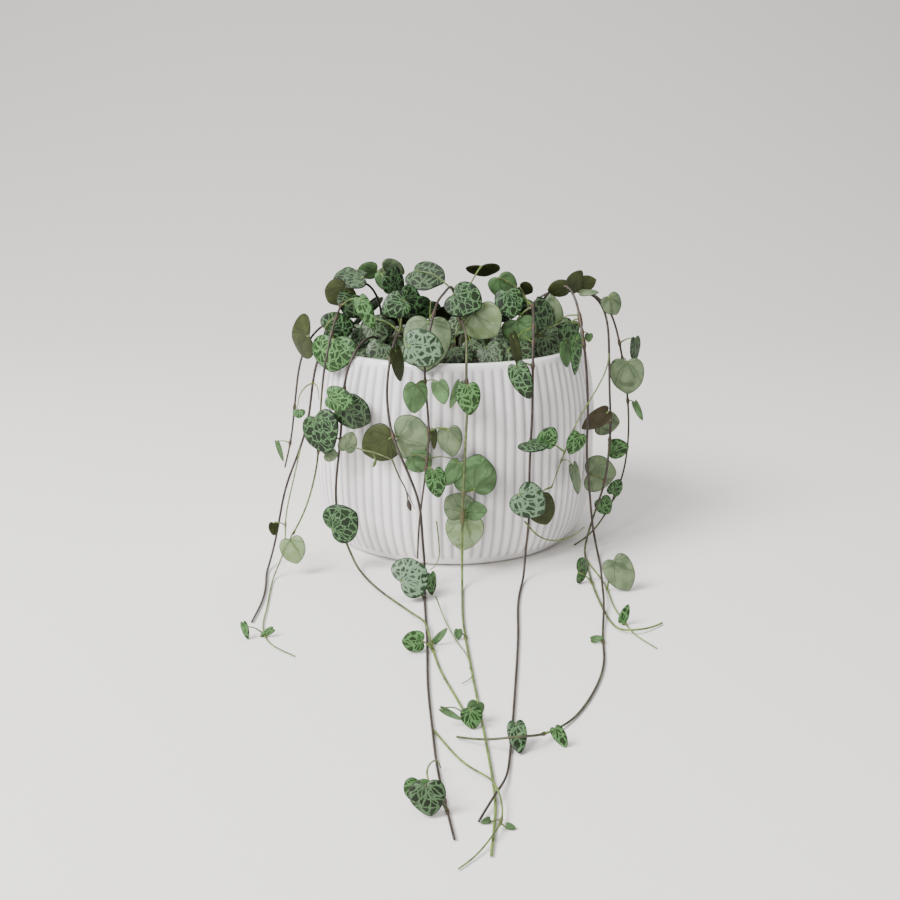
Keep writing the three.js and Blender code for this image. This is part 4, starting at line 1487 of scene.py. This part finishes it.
LEAVES = [
    *cluster(
        "crown_left",
        (Line.LEFT_SHORT, (-69, -22, 98), 21, 15, -80, 0, -50, Skin.OLIVE),
        (Line.LEFT_FRONT, (-51, -32.5, 104.5), 14, 13.5, 100, 15, 10, Skin.DARK),
        (Line.LEFT_FRONT, (-53, -42, 94), 23, 15, 0, 10, -25, Skin.BRIGHT),
        (Line.LEFT_FRONT, (-46, -22, 125), 18, 14, -90, 68, 0, Skin.GREY),
        (Line.LEFT_FRONT, (-38, -40, 112), 7.5, 15, 25, 10, 0, Skin.BRIGHT),
        (Line.MIDDLE_LONG, (-39, -8, 126), 10.5, 9.5, -80, -35, 0, Skin.GREEN),
        (Line.MIDDLE_LONG, (-28, 0, 125.5), 12, 11, 70, -30, 0, Skin.SAGE),
        (Line.MIDDLE_ARCH, (-11.5, -12, 124.5), 19, 16, 60, 52, 0, Skin.GREY),
        (Line.MIDDLE_LONG, (-25.5, -36, 114), 12.5, 12, -60, 15, 0, Skin.DARK),
        (Line.LEFT_FRONT, (-48, -12, 125), 12, 11, 180, 60, 0, Skin.DARK),
        (Line.LEFT_FRONT, (-51, -27, 118), 14, 12, -45, -20, 0, Skin.OLIVE),
        (Line.LEFT_FRONT, (-45, -30, 114), 15, 13, -40, 30, 35, Skin.GREY),
        (Line.MIDDLE_LONG, (-32, -12, 122), 7, 8, 10, 0, 0, Skin.GREEN),
        (Line.MIDDLE_LONG, (-26, -24, 124), 13, 13, 160, 10, 45, Skin.DARK),
        (Line.MIDDLE_LONG, (-18, -31, 115), 16, 10, 80, 10, 30, Skin.DARK),
        (Line.MIDDLE_LONG, (-34, -30, 102), 13, 13, 20, 20, 0, Skin.DIM),
        (Line.LEFT_RUNNER, (-42, -27, 98), 9, 9, -30, 30, 0, Skin.DIM),
        (Line.MIDDLE_LONG, (-36, -32, 91), 16, 13, 0, 55, 0, Skin.DIM),
        (Line.MIDDLE_LONG, (-23, -66, 94), 8, 15, 15, 0, 50, Skin.OLIVE),
    ),
    *cluster(
        "crown_middle",
        (Line.MIDDLE_ARCH, (-11, -61.5, 102), 21, 22, -4, 15, 0, Skin.SAGE),
        (Line.MIDDLE_ARCH, (-12, -74, 102), 16, 15.5, 80, 5, 0, Skin.SILVER),
        (Line.MIDDLE_GREEN, (5.5, -46, 118), 18, 14, 60, 32, 0, Skin.DARK),
        (Line.MIDDLE_GREEN, (14, -43, 107.5), 19, 14, 45, -5, 0, Skin.PALE),
        (Line.MIDDLE_GREEN, (14, -16, 127), 16, 13, 10, -62, 0, Skin.OLIVE),
        (Line.MIDDLE_GREEN, (1, -50, 94), 9, 9, 20, 40, 0, Skin.DIM),
        (Line.MIDDLE_GREEN, (2, -34, 105), 10, 10, -40, 30, 0, Skin.DIM),
        (Line.MIDDLE_GREEN, (10, -40, 96), 11, 10, 30, 30, 0, Skin.DIM),
        (Line.RIGHT_FRONT, (20, -42, 94), 13, 11, -70, 35, 0, Skin.DIM),
        (Line.RIGHT_FRONT, (35, -28, 93), 12, 11, 30, 30, 0, Skin.DIM),
        (Line.RIGHT_FRONT, (23, -24, 121), 13, 12, 30, -20, 0, Skin.GREEN),
        (Line.RIGHT_FRONT, (33, -18, 119), 8, 7, 60, -30, 0, Skin.OLIVE),
        (Line.RIGHT_FRONT, (30, -36, 103), 16, 12, 20, -10, 0, Skin.GREEN),
        (Line.RIGHT_FRONT, (27, -63, 99), 5, 16, 15, 0, 30, Skin.OLIVE),
    ),
    *cluster(
        "crown_right",
        (Line.RIGHT_FRONT, (25, -38, 115.5), 13, 12.5, 10, 15, 0, Skin.DARK),
        (Line.RIGHT_CURL, (40.5, -32, 110), 11, 15.5, -160, 5, 30, Skin.GREY),
        (Line.RIGHT_FRONT, (29, -69, 87.5), 10, 15.5, 25, 0, -20, Skin.DARK),
        (Line.RIGHT_CURL, (56.5, -8, 121.5), 9, 10.5, 150, -10, 20, Skin.OLIVE),
        (Line.RIGHT_OUTER, (74, -7.5, 110.5), 10.5, 10, 30, 0, 20, Skin.SAGE),
        (Line.RIGHT_CURL, (54, -46, 94.5), 8, 17.5, 0, 0, 45, Skin.BRIGHT),
        (Line.RIGHT_OUTER, (86, -4, 89), 9, 11.5, 0, 0, 50, Skin.GREY),
        (Line.RIGHT_OUTER, (82, -9, 77), 16.5, 16, 5, 0, 0, Skin.SAGE),
        (Line.RIGHT_CURL, (45, -22, 110), 10, 14, -170, 0, 0, Skin.SAGE),
        (Line.RIGHT_CURL, (48, -16, 119), 9, 9, -80, -20, 0, Skin.OLIVE),
        (Line.RIGHT_FORKED, (62, -4, 120), 8, 9, 110, 0, 0, Skin.OLIVE),
        (Line.RIGHT_FORKED, (63, -6, 116), 5, 9, 95, 60, 0, Skin.SAGE),
        (Line.RIGHT_CURL, (52, -26, 101), 10, 11, -20, 0, 10, Skin.GREY),
        (Line.RIGHT_CURL, (50, -42, 94), 8, 12, 10, 0, 40, Skin.GREEN),
        (Line.RIGHT_CURL, (61, -30, 99), 4, 4, 0, 0, 0, Skin.GREEN),
        (Line.RIGHT_OUTER, (88, -7, 60), 3.5, 10, 25, 0, 0, Skin.GREEN),
    ),
    *cluster(
        "hanging_left",
        (Line.LEFT_RUNNER, (-48, -67, 79), 11, 12, 80, 5, -15, Skin.BRIGHT),
        (Line.LEFT_RUNNER, (-42.5, -61, 71.5), 15.5, 14.5, 60, 0, -10, Skin.GREY),
        (Line.LEFT_FRONT, (-56.5, -62, 63), 18, 17, 25, 5, -20, Skin.DARK),
        (Line.LEFT_FRONT, (-69.5, -69, 12), 11.5, 11.5, 15, 5, 0, Skin.PALE),
        (Line.LEFT_RUNNER, (-48, -66, 24), 18.5, 14, 125, 5, -10, Skin.DARK),
        (Line.LEFT_SHORT, (-70, -30, 64), 6, 4, 0, 20, 0, Skin.BRIGHT),
        (Line.LEFT_SHORT, (-79, -32, 47), 2.5, 10, 15, 0, 0, Skin.GREEN),
        (Line.LEFT_RUNNER, (-45, -62, 59), 8, 9, 160, 0, 0, Skin.SAGE),
        (Line.LEFT_FRONT, (-53, -60, 53), 7, 6, 90, 0, 0, Skin.SAGE),
        (Line.LEFT_LONG, (-79, -60, 19), 5, 6, 0, 0, 30, Skin.OLIVE),
    ),
    *cluster(
        "hanging_middle",
        (Line.MIDDLE_ARCH, (-15.5, -77, 82), 11.5, 12.5, -5, 0, 25, Skin.GREEN),
        (Line.MIDDLE_LONG, (-32, -66, 59), 17, 15, -60, 0, -15, Skin.OLIVE),
        (Line.MIDDLE_LONG, (-17, -71.2, 63.5), 20, 14.5, 95, 0, -5, Skin.SAGE),
        (Line.MIDDLE_ARCH, (-1, -72.5, 62), 11, 12.5, 10, 0, 0, Skin.SAGE),
        (Line.MIDDLE_ARCH, (-7, -80, 46), 9, 12.5, 10, 0, 10, Skin.BRIGHT),
        (Line.MIDDLE_GREEN, (6.5, -77, 81.5), 10.5, 13, 5, 0, 0, Skin.BRIGHT),
        (Line.MIDDLE_GREEN, (10, -71, 47), 19, 16.5, 172, 0, 5, Skin.GREEN),
        (Line.MIDDLE_GREEN, (5, -72, 21), 17, 15, -5, 0, 0, Skin.PALE),
        (Line.MIDDLE_LONG, (-17, -96, 10.6), 18.5, 12.5, 120, 35, 0, Skin.SILVER),
        (Line.MIDDLE_ARCH, (-5, -75, 84), 8, 10, 15, 0, -20, Skin.GREEN),
        (Line.MIDDLE_ARCH, (-8, -72, 63), 3, 9, 0, 0, 0, Skin.OLIVE),
        (Line.MIDDLE_ARCH, (-14, -71, 53), 12, 10, 60, 0, 0, Skin.GREEN),
        (Line.MIDDLE_GREEN, (1, -75, 83), 4, 12, -20, 0, 0, Skin.GREEN),
        (Line.MIDDLE_ARCH, (0, -72, 48), 8, 12, -30, 0, 0, Skin.GREEN),
        (Line.MIDDLE_GREEN, (2, -72, 33), 14, 12, -130, 0, 0, Skin.SAGE),
        (Line.MIDDLE_GREEN, (10, -72, 31), 9, 9, 90, 0, 0, Skin.GREEN),
        (Line.MIDDLE_LONG, (-9, -92, 4), 6, 10, 5, 0, 40, Skin.BRIGHT),
    ),
    *cluster(
        "hanging_right",
        (Line.RIGHT_FRONT, (33, -74.5, 35.5), 16, 14.5, 50, 0, 5, Skin.SILVER),
        (Line.RIGHT_FORKED, (38.5, -69, 30.5), 13, 13.5, 20, 0, 10, Skin.OLIVE),
        (Line.RIGHT_FORKED, (53, -60.5, 58), 9, 10, -30, 0, 20, Skin.BRIGHT),
        (Line.RIGHT_FORKED, (65, -35, 62.5), 9, 14.5, -60, 0, 15, Skin.BROWN),
        (Line.RIGHT_FORKED, (72.5, -17.5, 56.5), 12, 13, 85, 0, 30, Skin.SAGE),
        (Line.RIGHT_FORKED, (77, -24, 46), 10, 9, 100, 0, 0, Skin.BRIGHT),
        (Line.RIGHT_FORKED, (68, -32, 36), 18, 14, 90, 0, 10, Skin.SAGE),
        (Line.RIGHT_FORKED, (41, -65, 62), 9, 9, 150, 0, 0, Skin.BRIGHT),
        (Line.RIGHT_FRONT, (35, -71, 60), 15, 10, 30, 78, 10, Skin.DARK),
        (Line.RIGHT_FORKED, (55, -50, 39), 7, 16, 20, 0, 50, Skin.SAGE),
        (Line.RIGHT_OUTER, (77, -20, 26), 8, 8, 150, 0, 20, Skin.BRIGHT),
        (Line.RIGHT_OUTER, (71, -27, 19), 9, 9, 30, 0, 20, Skin.BRIGHT),
        (Line.RIGHT_FORKED, (56, -77, 6), 12, 8, 90, 0, 50, Skin.BRIGHT),
    ),
    *cluster(
        "resting",
        (Line.RIGHT_FORKED, (71, -87, 8), 13, 15, 28, 10, 0, Skin.SAGE),
        (Line.LEFT_RUNNER, (-15, -150, 4.8), 8.5, 8, -90, 10, 0, Skin.BRIGHT),
        (Line.MIDDLE_LONG, (-7.5, -263, 5.8), 11, 9.5, 10, 15, 0, Skin.GREY),
        (Line.RIGHT_FRONT, (20.3, -223.5, 4.6), 6.5, 10.5, 5, 50, 0, Skin.DARK),
        (Line.LEFT_RUNNER, (-5, -143, 4), 3, 8, 140, 0, 0, Skin.GREEN),
        (Line.MIDDLE_GREEN, (2, -138, 2), 3.5, 4.5, 0, 0, 0, Skin.GREEN),
        (Line.LEFT_RUNNER, (6, -210, 4), 7.5, 7, 10, 10, 0, Skin.BRIGHT),
        (Line.LEFT_RUNNER, (7, -206, 5), 6, 6, -20, 10, 0, Skin.GREEN),
        (Line.LEFT_RUNNER, (-1, -209, 5), 2.5, 8, 60, 0, 0, Skin.GREEN),
        (Line.MIDDLE_LONG, (-11, -257, 5), 8, 7, -10, 6, 0, Skin.BRIGHT),
        (Line.RIGHT_CURL, (34, -222, 2), 4.5, 7.5, 30, 10, 0, Skin.BRIGHT),
        (Line.MIDDLE_LONG, (9, -267, 0), 2, 3, -70, 20, 0, Skin.GREEN),
        (Line.MIDDLE_LONG, (16, -270, 0), 2, 3, 70, 20, 0, Skin.GREEN),
        (Line.LEFT_LONG, (-80, -137, 2), 3, 7, 15, 10, 0, Skin.BRIGHT),
        (Line.LEFT_LONG, (-72, -135, 2), 3, 6, -60, 10, 0, Skin.BRIGHT),
        (Line.RIGHT_FORKED, (68, -123, 4), 4, 8, 160, 10, 0, Skin.BRIGHT),
        (Line.RIGHT_CURL, (55, -141, 2), 3, 5, 100, 10, 0, Skin.GREEN),
    ),
    *cluster(
        "low",
        (None, (-42, -22, 93), 13, 12, 20, 30, -20, Skin.DIM),
        (None, (-33, -36, 93), 13, 11, -30, 25, 0, Skin.DIM),
        (None, (-22, -26, 96), 14, 13, 40, 35, 10, Skin.DIM),
        (None, (-20, -44, 92), 12, 10, 70, 20, 0, Skin.DIM),
        (None, (-9, -36, 95), 14, 13, -20, 30, 0, Skin.DIM),
        (None, (-5, -20, 98), 14, 12, 60, 25, 0, Skin.DIM),
        (None, (3, -46, 92), 13, 11, 10, 25, 0, Skin.DIM),
        (None, (9, -28, 97), 14, 13, -50, 30, 10, Skin.OLIVE),
        (None, (17, -44, 93), 13, 12, 30, 25, -10, Skin.DIM),
        (None, (24, -26, 96), 14, 13, -20, 30, 0, Skin.DIM),
        (None, (31, -38, 93), 13, 11, 60, 25, 10, Skin.DIM),
        (None, (36, -20, 97), 14, 12, -60, 30, 0, Skin.OLIVE),
        (None, (44, -26, 94), 12, 11, 20, 25, 20, Skin.DIM),
        (None, (47, -8, 95), 12, 12, 40, 30, 30, Skin.DIM),
        (None, (-48, -4, 95), 13, 12, 10, 35, -30, Skin.DIM),
        (None, (-34, -8, 99), 13, 13, -30, 30, 0, Skin.GREY),
        (None, (14, -8, 100), 14, 12, 30, 40, 0, Skin.GREY),
    ),
    *cluster(
        "back",
        (None, (-46, 12, 100), 16, 15, 30, 35, -100, Skin.DARK),
        (None, (-34, 37, 96), 13, 12, -50, 60, -150, Skin.GREY),
        (None, (-40, 24, 105), 14, 13, 15, 40, -120, Skin.BRIGHT),
        (None, (-14, 51, 100), 15, 14, 35, 30, 170, Skin.DARK),
        (None, (2, 46, 94), 13, 12, -60, 65, 180, Skin.GREY),
        (None, (18, 52, 97), 15, 14, -10, 35, 165, Skin.DARK),
        (None, (36, 37, 103), 16, 15, 25, 40, 140, Skin.SILVER),
        (None, (49, 19, 97), 13, 12, -35, 55, 115, Skin.DARK),
        (None, (-24, 18, 99), 15, 14, 0, 65, -160, Skin.GREY),
        (None, (-3, 24, 101), 14, 13, 50, 45, 175, Skin.OLIVE),
        (None, (22, 16, 101), 15, 14, -40, 65, 150, Skin.DARK),
    ),
    *cluster(
        "back",
        (None, (13, 33, 100), 12, 11, 80, 60, 160, Skin.DARK),
        (None, (-25, 38, 102), 14, 13, -20, 45, -165, Skin.SAGE),
        (None, (38, 4, 104), 14, 13, 40, 45, 130, Skin.GREY),
        (None, (33, 25, 105), 13, 13, -25, 30, 150, Skin.DARK),
        (None, (-30, 5, 103), 14, 13, 35, 50, -140, Skin.DARK),
        (None, (6, 3, 104), 13, 12, -70, 60, 170, Skin.DIM),
        first=13,
    ),
]


# ---- studio -------------------------------------------------------------------------------


@dataclass(frozen=True)
class SoftBox:
    """A square studio light with a diffuser."""

    name: str
    place: Point  # metres
    target: Point
    size: float
    watts: float
    colour: str = "#ffffff"

    def build(self) -> None:
        """Hangs the light and aims it."""
        light = bpy.data.lights.new(self.name, "AREA")
        light.shape = "SQUARE"
        light.size = self.size
        light.energy = self.watts
        light.color = linear(self.colour)[:3]
        obj = bpy.data.objects.new(self.name, light)
        bpy.context.scene.collection.objects.link(obj)
        obj.location = self.place
        aim = Vector(self.target) - Vector(self.place)
        obj.rotation_euler = aim.to_track_quat("-Z", "Y").to_euler()


@dataclass(frozen=True)
class Studio:
    """A pale paper sweep, soft lights from both sides and above, and the camera."""

    sweep_half_width: float = 5.0
    sweep_front: float = -7.0
    sweep_back: float = 0.5
    curve_radius: float = 1.6
    curve_steps: int = 24
    wall_height: float = 1.5  # of the straight wall above the curve
    surround: float = 0.34
    eye: Point = (-0.0012, -0.5839, 0.1958)
    look_down: float = 15.05
    lens: float = 50.0
    sensor: float = 36.0
    lights: tuple[SoftBox, ...] = (
        SoftBox("key_left", (-0.9, -0.7, 1.1), (0, 0, 0.06), 0.7, 46.0),
        SoftBox("strip", (-0.4, -0.95, 0.55), (0, 0, 0.05), 0.12, 3.5),
        SoftBox("fill_right", (1.2, -0.6, 0.8), (0, 0, 0.06), 1.2, 1.6),
        SoftBox("top", (0.0, 0.2, 1.5), (0, 0, 0.05), 1.3, 14.0),
    )

    def sweep(self) -> None:
        """Models the paper: a floor that curves up into a wall behind."""
        deselect()
        bpy.ops.mesh.primitive_plane_add(size=1.0, location=(0, 0, 0))
        paper = bpy.context.object
        length = self.sweep_back - self.sweep_front
        middle = (self.sweep_back + self.sweep_front) / 2
        stretch = Matrix.Diagonal((2 * self.sweep_half_width, length, 1.0, 1.0))
        paper.data.transform(Matrix.Translation((0, middle, 0)) @ stretch)
        bpy.ops.object.mode_set(mode="EDIT")
        bpy.ops.mesh.select_all(action="DESELECT")
        bpy.ops.object.mode_set(mode="OBJECT")
        for edge in paper.data.edges:
            ends = [paper.data.vertices[i] for i in edge.vertices]
            edge.select = all(end.co.y > self.sweep_back - 0.01 for end in ends)
        bpy.ops.object.mode_set(mode="EDIT")
        bpy.ops.mesh.select_mode(type="EDGE")
        for step in range(self.curve_steps):
            bpy.ops.mesh.extrude_region_move(TRANSFORM_OT_translate={"value": self.arc_step(step)})
        bpy.ops.mesh.extrude_region_move(TRANSFORM_OT_translate={"value": (0, 0, self.wall_height)})
        bpy.ops.mesh.select_mode(type="VERT")
        bpy.ops.object.mode_set(mode="OBJECT")
        bpy.ops.object.shade_smooth()
        paper.name = paper.data.name = "paper_sweep"
        paper.data.materials.append(dress(MattPaper()))

    def arc_step(self, step: int) -> Point:
        """The move along one step of the sweep's quarter circle.

        Args:
            step: The step's number, from 0.

        Returns:
            The move, in metres.
        """
        start, end = (math.pi / 2 * share / self.curve_steps for share in (step, step + 1))
        return (
            0.0,
            self.curve_radius * (math.sin(end) - math.sin(start)),
            self.curve_radius * (math.cos(start) - math.cos(end)),
        )

    def camera(self) -> None:
        """Sets the camera at the viewing angle."""
        data = bpy.data.cameras.new("camera")
        data.lens = self.lens
        data.sensor_width = self.sensor
        data.clip_start = 0.01
        obj = bpy.data.objects.new("camera", data)
        bpy.context.scene.collection.objects.link(obj)
        obj.location = self.eye
        obj.rotation_euler = (math.radians(90.0 - self.look_down), 0.0, 0.0)
        bpy.context.scene.camera = obj

    def build(self) -> None:
        """Sets up the sweep, the lights, the soft surrounding light and the camera."""
        self.camera()
        self.sweep()
        for light in self.lights:
            light.build()
        world = bpy.data.worlds.new("soft_surround")
        world.use_nodes = True
        background = world.node_tree.nodes["Background"]
        background.inputs["Color"].default_value = linear("#ffffff")
        background.inputs["Strength"].default_value = self.surround
        bpy.context.scene.world = world


def main() -> None:
    """Builds the pot, the mix, the plant and the studio."""
    logging.basicConfig(level=logging.INFO, format="%(name)s: %(message)s")
    Studio().build()
    pot = RibbedPot()
    pot.build()
    MixFill(pot).build()
    heart = HeartBlade()
    template = heart.model()
    for leaf in LEAVES:
        if leaf.stem is not None:
            STEMS[leaf.stem].joints.append(leaf.root())
        leaf.build(template, heart)
    bpy.data.objects.remove(template)
    for line, stem in STEMS.items():
        stem.build(line.value)
    for tendril in TENDRILS:
        tendril.build()
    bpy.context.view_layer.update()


if __name__ == "__main__":
    main()
